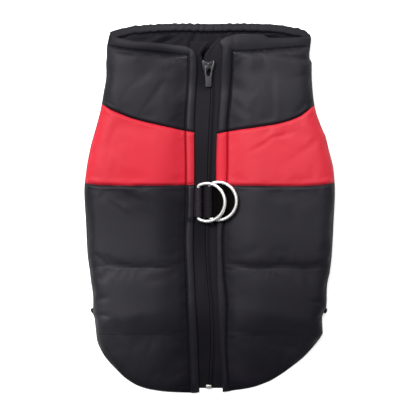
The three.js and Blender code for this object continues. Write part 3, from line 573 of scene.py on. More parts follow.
ACROSS = spread((0, 0), (0.004, 2), (0.02, 4), (0.085, 8), (0.115, 8), (0.15, 4), (0.87, 52), (0.97, 10),
                (0.993, 6), (1, 5))
SEWN = 0.04  # neighbouring panels just meet in their seam
PANELS = {
    "yoke": {"low": YOKE_SEAM, "high": RIM, "gap": (-SEWN, 0), "straight": 1, "slot": "black_shell",
             "rows": spread((0, 0), (0.04, 8), (0.78, 40), (0.88, 14), (0.975, 12), (0.995, 6), (1, 3))},
    "band": {"low": BAND_SEAM, "high": YOKE_SEAM, "gap": (-SEWN, SEWN), "straight": 1, "slot": "red_shell",
             "rows": spread((0, 0), (0.06, 8), (0.94, 36), (1, 8))},
    "back": {"low": HEM, "high": BAND_SEAM, "gap": (0, SEWN), "straight": 0.45, "slot": "black_shell",
             "rows": spread((0, 0), (0.002, 2), (0.015, 4), (0.05, 5), (0.26, 24), (0.34, 14), (0.58, 24),
                            (0.65, 14), (0.975, 36), (1, 8))},
}


def panel_net(half, panel, shares, rows):
    """x and y of a panel's net of points, with each point's share and row."""
    share, row = np.meshgrid(shares, rows)
    low = along(panel["low"], half.name, share) + panel["gap"][0]
    low_at_zip = along(panel["low"], half.name, 0) + panel["gap"][0]
    high = along(panel["high"], half.name, share) + panel["gap"][1]
    y = mix(low_at_zip, high, row) + (low - low_at_zip) * np.maximum(0, 1 - row / panel["straight"])
    return share, half.x_at(share, y), y


def only(piece):
    """Select one piece alone and make it active."""
    deselect()
    piece.select_set(True)
    bpy.context.view_layer.objects.active = piece


def smooth_all(piece, angle=50):
    only(piece)
    bpy.ops.object.shade_smooth_by_angle(angle=math.radians(angle))


def points_of(piece):
    points = np.empty(len(piece.data.vertices) * 3)
    piece.data.vertices.foreach_get("co", points)
    return points.reshape(-1, 3) / MM


def place_points(piece, points):
    """Move a mesh's points to these places, in millimetres."""
    piece.data.vertices.foreach_set("co", (np.reshape(points, (-1, 3)) * MM).ravel())
    piece.data.update()


def grid_object(name, points):
    """A net of quads through rows of points, in millimetres, facing up."""
    if points[0, 0, 0] > points[0, -1, 0]:
        points = points[:, ::-1]
    rows, columns = points.shape[:2]
    deselect()
    bpy.ops.mesh.primitive_grid_add(x_subdivisions=columns - 1, y_subdivisions=rows - 1)
    net = bpy.context.object
    net.name = net.data.name = name
    place_points(net, points)
    return net


def apply_modifiers(piece):
    only(piece)
    for modifier in list(piece.modifiers):
        bpy.ops.object.modifier_apply(modifier=modifier.name)


def carve(piece, cutter):
    """Cut one mesh out of another and remove the cutter."""
    cut = piece.modifiers.new("cut", "BOOLEAN")
    cut.operation = "DIFFERENCE"
    cut.solver = "EXACT"
    cut.object = cutter
    apply_modifiers(piece)
    bpy.data.objects.remove(cutter, do_unlink=True)


def wall_object(name, outer, inner):
    """A closed wall from an outer net and an inner net of the same size."""
    wall = grid_object(name, outer)
    if outer[0, 0, 0] > outer[0, -1, 0]:
        inner = inner[:, ::-1]
    solidify = wall.modifiers.new("thickness", "SOLIDIFY")
    solidify.thickness = MM
    solidify.offset = -1
    apply_modifiers(wall)
    points = points_of(wall)
    points[inner.shape[0] * inner.shape[1]:] = inner.reshape(-1, 3)
    place_points(wall, points)
    smooth_all(wall)
    return wall


# Between its seams the cloth is a little fuller than the form under it, so it buckles as it settles.
# One net goes over each half, held where it is sewn, and the wadding presses it out from below.
SETTLE_ACROSS = spread((0, 0), (0.05, 2), (0.1, 3), (0.9, 34), (1, 5))
SETTLE_ROWS = {
    "back": spread((0, 0), (0.05, 4), (0.26, 18), (0.34, 5), (0.58, 14), (0.65, 5), (1, 24)),
    "band": spread((0, 0), (1, 20)),
    "yoke": spread((0, 0), (0.8, 22), (1, 8)),
}
CLOTH = {
    "vertex_group_mass": "sewn", "quality": 6, "mass": 0.3, "tension_stiffness": 25, "compression_stiffness": 12,
    "shear_stiffness": 6, "bending_stiffness": 0.9, "air_damping": 6, "shrink_min": -0.022,
    "use_pressure": True, "uniform_pressure_force": 1.6,
}
SETTLE_STEPS = 20
MOST_SETTLED = 1.7
SETTLED_SHARE = 0.27  # the wadding holds the cloth back from most of the movement


def settle(half):
    """How far each point of a half's net moves as its cloth settles, by panel."""
    nets, held = {}, {}
    for name in ("back", "band", "yoke"):
        share, x, y = panel_net(half, PANELS[name], SETTLE_ACROSS, SETTLE_ROWS[name])
        z = underside(x, y) + loft(half, share, x, y, fine=0)
        nets[name] = np.stack([x, y, z], 2)
        row = np.repeat(SETTLE_ROWS[name][:, None], len(SETTLE_ACROSS), 1)
        at_seam = (row == 0) | (row == 1)
        at_channel = np.min([np.abs(y - c) for c in CHANNELS[half.name]], axis=0) < 1.2
        in_rim = y > along(RIM_GROOVE, half.name, share) - 1
        held[name] = at_seam | (share <= STRIP_SHARE + 0.001) | (share > 0.985) | at_channel | in_rim
    net = np.concatenate([nets["back"], nets["band"][1:], nets["yoke"][1:]])
    pins = np.concatenate([held["back"], held["band"][1:], held["yoke"][1:]])
    if half is LEFT:
        pins = pins[:, ::-1]
    cloth_net = grid_object("settling_" + half.name, net)
    group = cloth_net.vertex_groups.new(name="sewn")
    group.add([int(i) for i in np.flatnonzero(pins.ravel())], 1, "REPLACE")
    cloth = cloth_net.modifiers.new("cloth", "CLOTH")
    for setting, value in CLOTH.items():
        setattr(cloth.settings, setting, value)
    cloth.settings.effector_weights.gravity = 0
    cloth.collision_settings.use_collision = False
    for step in range(1, SETTLE_STEPS + 1):
        bpy.context.scene.frame_set(step)
    apply_modifiers(cloth_net)
    settled = points_of(cloth_net).reshape(net.shape)
    if half is LEFT:
        settled = settled[:, ::-1]
    bpy.data.objects.remove(cloth_net, do_unlink=True)
    bpy.context.scene.frame_set(1)
    moved = settled - net
    far = np.maximum(1e-6, np.linalg.norm(moved, axis=2))[:, :, None]
    moved *= SETTLED_SHARE * np.minimum(1, MOST_SETTLED / far)
    back, band = len(SETTLE_ROWS["back"]), len(SETTLE_ROWS["band"])
    return {"back": moved[:back], "band": moved[back - 1:back + band - 1], "yoke": moved[back + band - 2:]}


def between(moved, shares, rows, share, row):
    """The settled movement at each share and row, between the net's points."""
    i = np.clip(np.searchsorted(rows, row, side="right") - 1, 0, len(rows) - 2)
    j = np.clip(np.searchsorted(shares, share, side="right") - 1, 0, len(shares) - 2)
    v = ((row - rows[i]) / (rows[i + 1] - rows[i]))[:, :, None]
    u = ((share - shares[j]) / (shares[j + 1] - shares[j]))[:, :, None]
    v, u = v * v * (3 - 2 * v), u * u * (3 - 2 * u)
    return mix(mix(moved[i, j], moved[i, j + 1], u), mix(moved[i + 1, j], moved[i + 1, j + 1], u), v)


def take_painted_light(cloth, colour, gleam, sheen):
    """Scale a cloth's colour, gloss and sheen by the painted light and shade stored on the piece."""
    painted_inputs = (
        ("Base Color", "tone", 1), ("Specular IOR Level", "shine", gleam), ("Sheen Weight", "shine", sheen))
    for socket, attribute, share in painted_inputs:
        painted = cloth.node("Attribute", {}, attribute_name=attribute).outputs["Fac"]
        scaled = cloth.node("Math", {0: painted, 1: share, 2: share}, operation="MULTIPLY_ADD").outputs[0]
        if attribute == "tone":
            scaled = cloth.node("VectorMath", {0: colour, "Scale": scaled}, operation="SCALE").outputs["Vector"]
        cloth.put({socket: scaled})


THREADS = 0.314 / (0.45 * MM)  # scale of threads 0.45 mm apart


def cloth_material(name, dark, light, rough, sheen, gleam):
    """A plain weave, faintly uneven, whose colour varies softly between a darker and a lighter tone."""
    cloth = Material(name, {"Specular Tint": (0.95, 0.92, 0.985, 1), "Sheen Roughness": 0.4})
    threads = [cloth.pattern("TexWave", {"Scale": THREADS, "Distortion": 0.6}, bands_direction=axis)
               for axis in "XY"]
    crossed = cloth.node("Math", {0: threads[0], 1: threads[1]}, operation="MULTIPLY").outputs[0]
    woven = cloth.bump(crossed, 0.5, 0.03)
    cloth.bump(cloth.pattern("TexNoise", {"Scale": 90, "Detail": 5}), 0.6, 0.12, woven)
    tone = cloth.pattern("TexNoise", {"Scale": 14, "Detail": 6, "Roughness": 0.65})
    take_painted_light(cloth, cloth.ramp(tone, 0.35, dark, 0.68, light), gleam, sheen)
    cloth.gloss(tone, rough - 0.05, rough + 0.07)
    return cloth.data


black_shell = cloth_material(
    "black_shell", (0.0048, 0.0042, 0.0072), (0.0074, 0.0065, 0.0106), 0.58, 0.04, 0.33)
red_shell = cloth_material("red_shell", (0.575, 0.013, 0.029), (0.625, 0.017, 0.035), 0.58, 0.04, 0.3)
SHELLS = {"black_shell": black_shell, "red_shell": red_shell}
surfaces = {}

for half in (LEFT, RIGHT):
    settled = settle(half)
    for name, panel in PANELS.items():
        share, x, y = panel_net(half, panel, ACROSS, panel["rows"])
        row = np.repeat(panel["rows"][:, None], len(ACROSS), 1)
        outer = np.stack([x, y, underside(x, y) + loft(half, share, x, y)], 2)
        inner = np.stack([x, y, underside(x, y) + tuck(half, x, y)], 2)
        if settled is not None:
            outer = outer + between(settled[name], SETTLE_ACROSS, SETTLE_ROWS[name], share, row)
        surfaces[name, half.name] = outer
        piece = wall_object(f"{name}_{half.name}_cloth", outer, inner)
        piece.data.materials.append(SHELLS[panel["slot"]])
        # The painted light and shade, stored on the piece for its material.
        shine, tone = wear_and_painted_light(half, name, share, x, y)
        paint(piece, half is LEFT, shine=shine, tone=tone)
        low, high = outer.reshape(-1, 3).min(0), outer.reshape(-1, 3).max(0)
        width, length = (high[0] - low[0]) * MM, (high[1] - low[1]) * MM
        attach(piece, "jacket")
        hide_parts(f"{name}_{half.name}")


# ---------------------------------------------------------------- stitching
# Lockstitch in thread of the panel's own colour: beside the zip, under the collar's edge, along the
# quilted channels and round the hem. Each stitch is a short bead that dips into the cloth at its ends.

UP = np.array([0, 0, 1.0])
THREAD = {"long": 2.5, "wide": 0.5, "proud": 0.12}
HEM_STITCH = 5.5


def on_panel(name, half, shares, heights):
    """Points on a finished panel at each share and height."""
    net = surfaces[name, half.name]
    points = []
    for share, y in zip(shares, heights):
        j = int(np.clip(np.searchsorted(ACROSS, share, side="right") - 1, 0, len(ACROSS) - 2))
        u = (share - ACROSS[j]) / (ACROSS[j + 1] - ACROSS[j])
        ends = [[np.interp(y, net[:, c, 1], net[:, c, k]) for k in (0, 1, 2)] for c in (j, j + 1)]
        points.append(mix(np.array(ends[0]), np.array(ends[1]), u))
    return np.array(points)


def evenly(path, pitch):
    """The places of stitches along a path: middles and directions, a pitch apart."""
    run = np.concatenate([[0], np.cumsum(np.linalg.norm(np.diff(path, axis=0), axis=1))])
    at = np.arange(pitch / 2, run[-1], pitch)
    spot = lambda d: np.stack([np.interp(d, run, path[:, k]) for k in range(3)], 1)
    ahead = spot(at + pitch / 3) - spot(at - pitch / 3)
    return spot(at), ahead / np.linalg.norm(ahead, axis=1)[:, None]


def copies(name, unit, places):
    """One mesh of many copies of a unit: each place is a middle, a direction along and one upward."""
    shape = points_of(unit)
    faces = [list(p.vertices) for p in unit.data.polygons]
    bpy.data.objects.remove(unit, do_unlink=True)
    points, all_faces = [], []
    for k, (middle, along_it, up) in enumerate(places):
        side = np.cross(up, along_it)
        side /= np.linalg.norm(side)
        turn = np.stack([along_it, side, np.cross(along_it, side)])
        points.append(middle + shape @ turn)
        all_faces += [[v + k * len(shape) for v in face] for face in faces]
    mesh = bpy.data.meshes.new(name)
    mesh.from_pydata((np.concatenate(points) * MM).tolist(), [], all_faces)
    piece = bpy.data.objects.new(name, mesh)
    bpy.context.collection.objects.link(piece)
    smooth_all(piece)
    return piece


def bead(length, width, height):
    """A small rounded bead along X, in millimetres."""
    deselect()
    bpy.ops.mesh.primitive_uv_sphere_add(segments=6, ring_count=4, radius=0.5 * MM)
    unit = bpy.context.object
    bpy.ops.object.mode_set(mode="EDIT")
    bpy.ops.transform.rotate(value=math.pi / 2, orient_axis="Y", center_override=(0, 0, 0))
    bpy.ops.transform.resize(value=(length, width, height), center_override=(0, 0, 0))
    bpy.ops.object.mode_set(mode="OBJECT")
    return unit


def stitch_rows(name, paths, material):
    places = []
    for path in paths:
        middles, ways = evenly(path, STITCH_PITCH)
        places += [(middle + THREAD["proud"] * UP, way, UP) for middle, way in zip(middles, ways)]
    piece = copies(name, bead(THREAD["long"], THREAD["wide"], THREAD["wide"]), places)
    piece.data.materials.append(material)
    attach(piece, "jacket")


def thread_material(name, colour):
    thread = Material(name, {"Base Color": (*colour, 1), "Roughness": 0.6, "Specular IOR Level": 0.25})
    thread.bump(thread.pattern("TexNoise", {"Scale": 2400}), 0.5, 0.05)
    return thread.data


black_thread = thread_material("black_thread", (0.007, 0.0065, 0.009))
red_thread = thread_material("red_thread", (0.42, 0.012, 0.025))

for half in (LEFT, RIGHT):
    beside_zip = {}
    for name in PANELS:
        net = surfaces[name, half.name]
        column = net[:, int(np.argmin(np.abs(ACROSS - STRIP_SHARE)))]
        top = along(RIM_GROOVE, half.name, STRIP_SHARE) if name == "yoke" else 1e3
        beside_zip[name] = column[column[:, 1] < top]
    shares = np.linspace(STRIP_SHARE, 0.985, 90)
    under_rim = on_panel("yoke", half, shares, along(RIM_GROOVE, half.name, shares))
    channels = []
    for k, channel in enumerate(CHANNELS[half.name]):
        seed = SEED[half.name] + k
        reach = np.linspace(STRIP_SHARE + 0.5 * CHANNEL_FADE, 0.97, 80)
        wander = channel + 0.8 * uneven(half.x_at(reach, channel), 60, seed)
        channels.append(on_panel("back", half, reach, wander))
    inset = np.linspace(STRIP_SHARE, 0.93, 120)
    hem_rise = HEM_STITCH * (1 + 0.9 * smooth(0.6, 0.95, inset))
    hem = on_panel("back", half, inset * 0.985, along(HEM, half.name, inset) + hem_rise)
    black_rows = [beside_zip["yoke"], beside_zip["back"], under_rim, *channels, hem]
    stitch_rows(f"stitches_{half.name}_black", black_rows, black_thread)
    stitch_rows(f"stitches_{half.name}_red", [beside_zip["band"]], red_thread)


# ---------------------------------------------------------------- chest panel
# The front half of the vest, which lies on the floor: a thinner padded panel of the same shell, with a
# bound hole for each front leg. Its sides turn up to the folds, where the back takes over.

CHEST_WALL = 5
CHEST_ROUND = 6
CHEST_TURN = 2.8
THROAT_SEAM = 96
THROAT_SEAM_RISE = 6
LEG = {"x": 59, "y": 42, "half_width": 27, "half_length": 36, "binding": 4.4}
SIDEWAYS = spread((-1, 0), (-0.985, 3), (-0.93, 6), (-0.14, 40), (0.14, 24), (0.93, 40), (0.985, 6), (1, 3))


def fold_at(share, y):
    return share * np.where(share < 0, along(FOLD_LINE, "left", y), along(FOLD_LINE, "right", y))


def chest_underside(x, y):
    fold = np.abs(fold_at(np.where(x < 0, -1.0, 1.0), y))
    return CHEST_TURN * (1 - rounded(fold - np.abs(x), CHEST_ROUND))


def throat_seam(share):
    return THROAT_SEAM + THROAT_SEAM_RISE * share**2


share, row = np.meshgrid(SIDEWAYS, np.linspace(0, 1, 70))
low = belly_hem(fold_at(share, BELLY_HEM)) + 1.5 * SEAM_GAP
y = mix(low, throat_seam(share) - SEAM_GAP, row)
x = fold_at(share, y)
top = np.full(x.shape, CHEST_WALL - 0.05) - 0.35 * (1 - rounded(np.minimum(y - low, 6), 6))
chest = wall_object("chest_cloth", np.stack([x, y, top], 2), np.stack([x, y, chest_underside(x, y)], 2))
for side in (-1, 1):
    deselect()
    at = (side * LEG["x"] * MM, LEG["y"] * MM, 0)
    bpy.ops.mesh.primitive_cylinder_add(vertices=96, radius=1, depth=0.03, location=at)
    cutter = bpy.context.object
    cutter.scale = (LEG["half_width"] * MM, LEG["half_length"] * MM, 1)
    bpy.ops.object.transform_apply(location=True, rotation=True, scale=True)
    carve(chest, cutter)
smooth_all(chest)
chest.data.materials.clear()
chest.data.materials.append(black_shell)
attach(chest, "jacket")
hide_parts("chest_panel")


# ---------------------------------------------------------------- elastic bindings
# Knitted elastic folded over the raw edges of the leg holes and of the belly hem, sewn on stretched, so
# that it draws the cloth into small gathers. The belly binding's ends stand out at the side folds.

knitted = {"Base Color": (0.012, 0.0115, 0.014, 1), "Roughness": 0.75, "Specular IOR Level": 0.25}
elastic = Material("black_elastic", knitted)
elastic.ribs([("DIAGONAL", 260)], 1.5, 0.7, 0.12)

GATHER = 3.4  # length of one gather along the elastic


def gathers(s, seed):
    """Rounded gathers with sharp valleys between them, along s, from 0 to 1."""
    drift = s + 0.9 * uneven(s, 23, seed)
    return np.abs(np.sin(np.pi * drift / GATHER)) ** 0.6


for side in (-1, 1):
    name = "left" if side < 0 else "right"
    deselect()
    around, sides = 240, 14
    bpy.ops.mesh.primitive_torus_add(
        major_segments=around, minor_segments=sides, major_radius=0.03, minor_radius=0.002)
    binding = bpy.context.object
    binding.name = binding.data.name = f"leg_elastic_{name}"
    a = 2 * np.pi * np.arange(around) / around
    b = 2 * np.pi * np.arange(sides) / sides
    half_wide = (LEG["binding"] - SEAM_GAP) / 2
    middle_x = LEG["half_width"] - SEAM_GAP - half_wide
    middle_y = LEG["half_length"] - SEAM_GAP - half_wide
    swell = 0.9 + 0.1 * gathers(a * 31, 5 + side)
    wide = np.sign(np.cos(b)) * np.abs(np.cos(b)) ** 0.7 * half_wide
    high = np.sign(np.sin(b)) * np.abs(np.sin(b)) ** 0.7 * (CHEST_WALL / 2)
    out = wide[None] * swell[:, None]
    x = side * LEG["x"] + (middle_x + out) * np.cos(a)[:, None]
    y = LEG["y"] + (middle_y + out) * np.sin(a)[:, None]
    z = CHEST_WALL / 2 + high[None] * (0.86 + 0.14 * swell[:, None])
    place_points(binding, np.stack([x, y, z], 2))
    smooth_all(binding, 80)
    binding.data.materials.append(elastic.data)
    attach(binding, "jacket")
    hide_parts(f"leg_binding_{name}")

BINDING = {"width": 4.2, "height": 4.7, "left": 114.6, "right": 113}
x, t = np.meshgrid(np.linspace(-BINDING["left"], BINDING["right"], 460), np.linspace(0, 1, 15))
reach = np.where(x < 0, BINDING["left"], BINDING["right"])
swell = gathers(x, 3)
ends = rounded(reach - np.abs(x) + 0.05, 3)
tip = np.clip((np.abs(x) - 105) / (reach - 105), 0, 1)  # the ends are drawn into a soft pleat
round_it = np.sqrt(np.sin(np.pi * mix(0.03, 0.97, t)))
wide = (BINDING["width"] - 0.3 + 0.7 * swell * t + 3 * tip) * (1 - 0.75 * tip**6)
y = belly_hem(x) - 0.2 - 1.8 * tip**3 - t * wide
top = mix(BINDING["height"] / 2, BINDING["height"] - 0.5 * (1 - swell), round_it * mix(0.35, 1, ends))
under = mix(BINDING["height"] / 2, 0.02, round_it * mix(0.35, 1, ends))
belly = wall_object("belly_elastic", np.stack([x, y, top], 2)[::-1], np.stack([x, y, under], 2)[::-1])
belly.data.materials.append(elastic.data)
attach(belly, "jacket")
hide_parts("belly_binding")


# ---------------------------------------------------------------- throat and collar front
# The front of the collar: lining over thin wadding, turned and stitched in a band under its rim, where
# elastic draws it into small gathers. It shows inside the open neck, with a few soft folds.

THROAT_RIM = {
    "at": [0, 0.3, 0.5, 0.66, 0.78, 0.86, 0.92, 0.96, 1],
    "left": [178, 178.6, 178, 177, 175.8, 174.2, 172.8, 171.8, 170.4],
    "right": [178, 178.6, 178.2, 177.4, 175.8, 174.2, 173, 171.4, 168],
}
THROAT_BAND = 9
# Where the zip is open, above the slider: x of each tape's inner edge at each height y.
ZIP_TOP = {
    "at": [136, 140, 144, 148, 152, 157, 161, 164],
    "left": [-1.5, -4.6, -7.6, -8.7, -6.8, -2.9, 1.6, 5.2],
    "right": [-1.2, -3, -5, -4.3, -1.4, 2.2, 5.8, 8.2],
}
RIM_TURN = 3
LINING_FOLDS = by_column("x y angle length width height", [
    (-49, 165, 24, 10, 2.2, 0.9),
    (-39, 163, 22, 11, 2, -1.1),
    (-30, 166, 30, 9, 2.6, 0.6),
    (-84, 166, -12, 7, 2.4, -1.2),
    (-66, 166.5, 4, 14, 2.2, 0.5),
    (-14, 166, 62, 9, 2.4, -0.8),
    (-22, 160, 78, 8, 3, 0.6),
    (63, 169, -9, 8, 1.8, 0.8),
    (56, 165, 0, 7, 2, -1.1),
    (80, 167.5, -8, 10, 1.6, -0.7),
])


def throat_rim(share):
    out = np.abs(share)
    side = np.where(share < 0, along(THROAT_RIM, "left", out), along(THROAT_RIM, "right", out))
    x = share * NECK_HALF
    gather = 0.34 * uneven(x, 9, 71) * smooth(0.02, 0.1, np.abs(share))
    gather = gather + 0.5 * bell(x + 73, 1.4) + 0.5 * bell(x - 86, 1.3)
    return side + 1.2 + gather


share, row = np.meshgrid(SIDEWAYS, spread((0, 0), (0.5, 10), (0.86, 44), (0.94, 22), (0.985, 12), (1, 6)))
low, rim = throat_seam(share), throat_rim(share)
y = mix(low, rim, row)
x = fold_at(share, y)
middle = np.maximum(0, 1 - share**4)
band = np.clip((rim - y) / THROAT_BAND, 0, 1)
in_band = (rim - y < THROAT_BAND).astype(float)
ridge = 1.4 * np.sqrt(np.sin(np.pi * band**1.5)) - 0.9 * bell(rim - THROAT_BAND - y, 1.1)
pucker = 0.22 * uneven(x, 5, 31) * in_band * np.sin(np.pi * band)
pucker = pucker + 0.16 * uneven(x, 12, 33) * bell(rim - THROAT_BAND - 3 - y, 2.5)
soft = 0
for fold in LINING_FOLDS:
    run, off = on_fold(fold, x, y)
    soft = soft + fold["height"] * bell(run, fold["length"]) * bell(off, fold["width"])
top = CHEST_WALL + (ridge + pucker) * middle + soft * (1 - in_band) - 1.8 * (1 - rounded(rim - y, RIM_TURN))
throat_net = np.stack([x, y, top], 2)
throat = wall_object("throat_cloth", throat_net, np.stack([x, y, chest_underside(x, y)], 2))
black_lining = cloth_material(
    "black_lining", (0.0042, 0.0037, 0.0058), (0.0066, 0.0058, 0.0085), 0.62, 0.02, 0.1)
throat.data.materials.append(black_lining)
# Painted shade down the open zip, and painted light on the stitched band, weaker to the left and at the rim's very
# edge.
open_zip = (along(ZIP_TOP, "left", y) + along(ZIP_TOP, "right", y)) / 2
shaded = bell(x - open_zip, 3.4) * smooth(138, 144, y) * (1 - smooth(160, 167, y))
lit_band = (1 - smooth(0.75, 0.95, band)) * (1 - 0.6 * bell(rim - y, 1)) * mix(0.45, 1, smooth(-95, -35, x))
paint(throat, False, shine=(1.15 + 1.7 * lit_band) * (1 - 0.4 * shaded) - 1, tone=-0.1 * shaded)
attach(throat, "jacket")
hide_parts("throat_panel")

line = []
for j in range(3, len(SIDEWAYS) - 3):
    column = throat_net[:, j]
    at = rim[-1, j] - THROAT_BAND
    line.append([np.interp(at, column[:, 1], column[:, 0]), at, np.interp(at, column[:, 1], column[:, 2])])
stitch_rows("stitches_collar_band", [np.array(line)], black_thread)


# ---------------------------------------------------------------- zip tapes
# Two woven polyester tapes with a covered coil: the coil lies under a rounded fold along each tape's
# inner edge, so the closed zip shows two soft ridges and the line between them. The tapes part above
# the slider, and their outer edges are sewn under the panels.

TAPE_TOP = {"left": 160, "right": 163.5}
TAPE_END = -171.6
COIL_ROLL = 1.2
COIL_WIDTH = 1.9
COIL_OFFSET = 1.2
COIL_PITCH = 2.1

tape_cloth = Material("zip_tape", {"Roughness": 0.72, "Specular Tint": (0.97, 0.92, 0.99, 1)})
tape_cloth.ribs([("X", 330), ("Y", 210)], 0.8, 0.6, 0.08)
take_painted_light(tape_cloth, (0.0063, 0.0055, 0.0082), 0.2, 0)
# Painted light and shade on the tapes, mostly darker towards the tail: tone and shine against those of new tape,
# at each height y.
TAPE_PAINTED_LIGHT = {
    "at":    (-168, -150, -130, -113, -92, -62, -47, -30, -20, 28, 57, 80, 110, 122, 140, 150),
    "left":  (0.55, 0.6, 0.65, 0.72, 0.97, 1.05, 0.9, 0.72, 0.65, 0.8, 0.85, 1.05, 1.05, 0.9, 0.9, 1),
    "right": (0.55, 0.7, 0.85, 0.95, 1.03, 1, 1, 0.97, 0.95, 0.88, 0.95, 1.03, 1.05, 1.2, 1.3, 1.3),
}

for half in (LEFT, RIGHT):
    top_end = TAPE_TOP[half.name]
    rows = np.concatenate([np.arange(TAPE_END, top_end - 0.3, 0.6), [top_end]])
    widths = spread((0, 0), (0.03, 2), (0.3, 12), (1, 12))
    width, y = np.meshgrid(widths, rows)
    joined = along(PLACKET, "zip", y) - half.sign * 0.04
    inner = np.where(y < ZIP_TOP["at"][0], joined, along(ZIP_TOP, half.name, y))
    outer_edge = half.edge(y) + half.sign * TAPE_TUCK
    corner = 2.5 * (1 - rounded(top_end - y + 0.05, 2.5))  # the cut top is rounded off
    x = mix(inner + half.sign * corner, outer_edge, width)
    from_coil = half.sign * (x - inner) - COIL_OFFSET
    pressed = 1 - webbing_under(y)
    ribs = 0.09 * np.cos(2 * np.pi * y / COIL_PITCH) * bell(from_coil, 1.3)
    pressed = pressed * (1 - 0.75 * smooth(138, 146, y))  # no coil stands up where the zip is open
    roll = (COIL_ROLL * bell(from_coil, COIL_WIDTH) + ribs) * pressed
    roll = roll - 0.16 * bell(from_coil - 3.6, 0.5) * pressed
    edge_turn = 0.5 * (1 - rounded(half.sign * (x - inner) + 0.02, 0.7))
    z = underside(x, y)
    tape = wall_object(f"zip_tape_{half.name}_cloth", np.stack([x, y, z + TAPE - 0.05 + roll - edge_turn], 2),
                       np.stack([x, y, z], 2))
    tape.data.materials.append(tape_cloth.data)
    painted_tape_light = along(TAPE_PAINTED_LIGHT, half.name, y) - 1
    paint(tape, half is LEFT, shine=painted_tape_light, tone=painted_tape_light)
    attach(tape, "jacket")
    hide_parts(f"zip_tape_{half.name}")

# Where the zip is open, the coils' teeth show along both inner edges.
TOOTH_PITCH = 1.3
places = []
for half in (LEFT, RIGHT):
    for y in np.arange(141, 157, TOOTH_PITCH):
        x = float(along(ZIP_TOP, half.name, y)) - half.sign * 0.25
        lean = float(along(ZIP_TOP, half.name, y + 1) - along(ZIP_TOP, half.name, y - 1)) / 2
        middle = np.array([x, y, float(underside(np.array(x), np.array(y))) + 0.45])
        places.append((middle, np.array([-half.sign * 1.0, half.sign * lean, 0]), UP))
teeth = copies("zip_teeth", bead(1.7, 0.75, 0.8), places)
teeth.data.materials.append(thread_material("coil_plastic", (0.006, 0.0058, 0.0075)))
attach(teeth, "jacket")


# ---------------------------------------------------------------- slider, pull tab and bottom stop
# A die-cast zip slider in dark nickel, tumbled so that its edges are rounded, in brighter nickel on the rounded
# edges:
# partly rubbed plating, partly a painted highlight. A pull tab lies on the bow over it, and a pale stop is clamped
# across the tapes at the tail hem.


def metal(name, dark, light, rough, scale=900, metallic=1):
    """Tumbled metal: fine unevenness of tone, gloss and surface."""
    tumbled = Material(name, {"Metallic": metallic})
    grain = tumbled.pattern("TexNoise", {"Scale": scale, "Detail": 4})
    tumbled.put({"Base Color": tumbled.ramp(grain, 0.3, dark, 0.7, light)})
    tumbled.gloss(grain, rough - 0.05, rough + 0.08)
    tumbled.bump(grain, 0.25, 0.03)
    return tumbled.data


def finished_copy(node, name, bevel, material, wear_and_painted_light, body, cut=None):
    """A copy of a hard part with its edges rounded, which replaces it; the rounded edges take the second material,
    brighter on the slider and tab: partly rubbed plating, partly a painted highlight. cut is the outline of a hole
    in it.
    """
    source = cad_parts[node]
    piece = source.copy()
    piece.data = source.data.copy()
    piece.name = piece.data.name = name
    bpy.context.collection.objects.link(piece)
    only(piece)
    bpy.ops.object.mode_set(mode="EDIT")
    bpy.ops.mesh.select_all(action="SELECT")
    bpy.ops.mesh.remove_doubles(threshold=0.005 * MM)
    bpy.ops.mesh.dissolve_limited(angle_limit=math.radians(3))
    bpy.ops.object.mode_set(mode="OBJECT")
    if cut:
        corners = [((slider_x + x) * MM, (SLIDER_Y + y) * MM) for x, y in cut]
        n = len(corners)
        prism = bpy.data.meshes.new("hole")
        prism.from_pydata([(x, y, 0) for x, y in corners] + [(x, y, 0.06) for x, y in corners], [],
                          [list(range(n))[::-1], [n + k for k in range(n)]]
                          + [[k, (k + 1) % n, n + (k + 1) % n, n + k] for k in range(n)])
        box = bpy.data.objects.new("hole", prism)
        bpy.context.collection.objects.link(box)
        carve(piece, box)
    rounding = piece.modifiers.new("rounding", "BEVEL")
    rounding.width = bevel * MM
    rounding.segments = 3
    rounding.limit_method = "ANGLE"
    rounding.angle_limit = math.radians(28)
    rounding.material = 1
    piece.data.materials.clear()
    piece.data.materials.append(material)
    piece.data.materials.append(wear_and_painted_light)
    apply_modifiers(piece)
    smooth_all(piece, 35)
    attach(piece, body)
    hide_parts(node)
    return piece


dark_nickel = metal("dark_nickel", (0.13, 0.13, 0.145), (0.2, 0.2, 0.215), 0.34)
mid_nickel = metal("mid_nickel", (0.24, 0.235, 0.26), (0.36, 0.355, 0.38), 0.38)
rubbed_and_highlight_nickel = metal("rubbed_and_highlight_nickel", (0.6, 0.6, 0.62), (0.78, 0.78, 0.8), 0.36)
pale_nickel = metal("pale_nickel", (0.72, 0.7, 0.66), (0.85, 0.83, 0.78), 0.4)
SLIDER_Y = 136.5
slider_x = float(along(PLACKET, "zip", SLIDER_Y))
finished_copy("zip_slider", "slider_body", 0.35, dark_nickel, mid_nickel, "jacket",
              cut=[(-1, -6), (2, -6), (3.2, -1.6), (0.6, -2.4), (-1.2, -3.4)])
finished_copy("zip_pull", "pull_tab_metal", 0.3, mid_nickel, rubbed_and_highlight_nickel, "pull_tab",
              cut=[(-1.2, -9.2), (1.4, -9.2), (2.4, -5.4), (2.4, -2), (-1.2, -2)])
finished_copy("zip_stop", "bottom_stop", 0.35, pale_nickel, pale_nickel, "jacket")

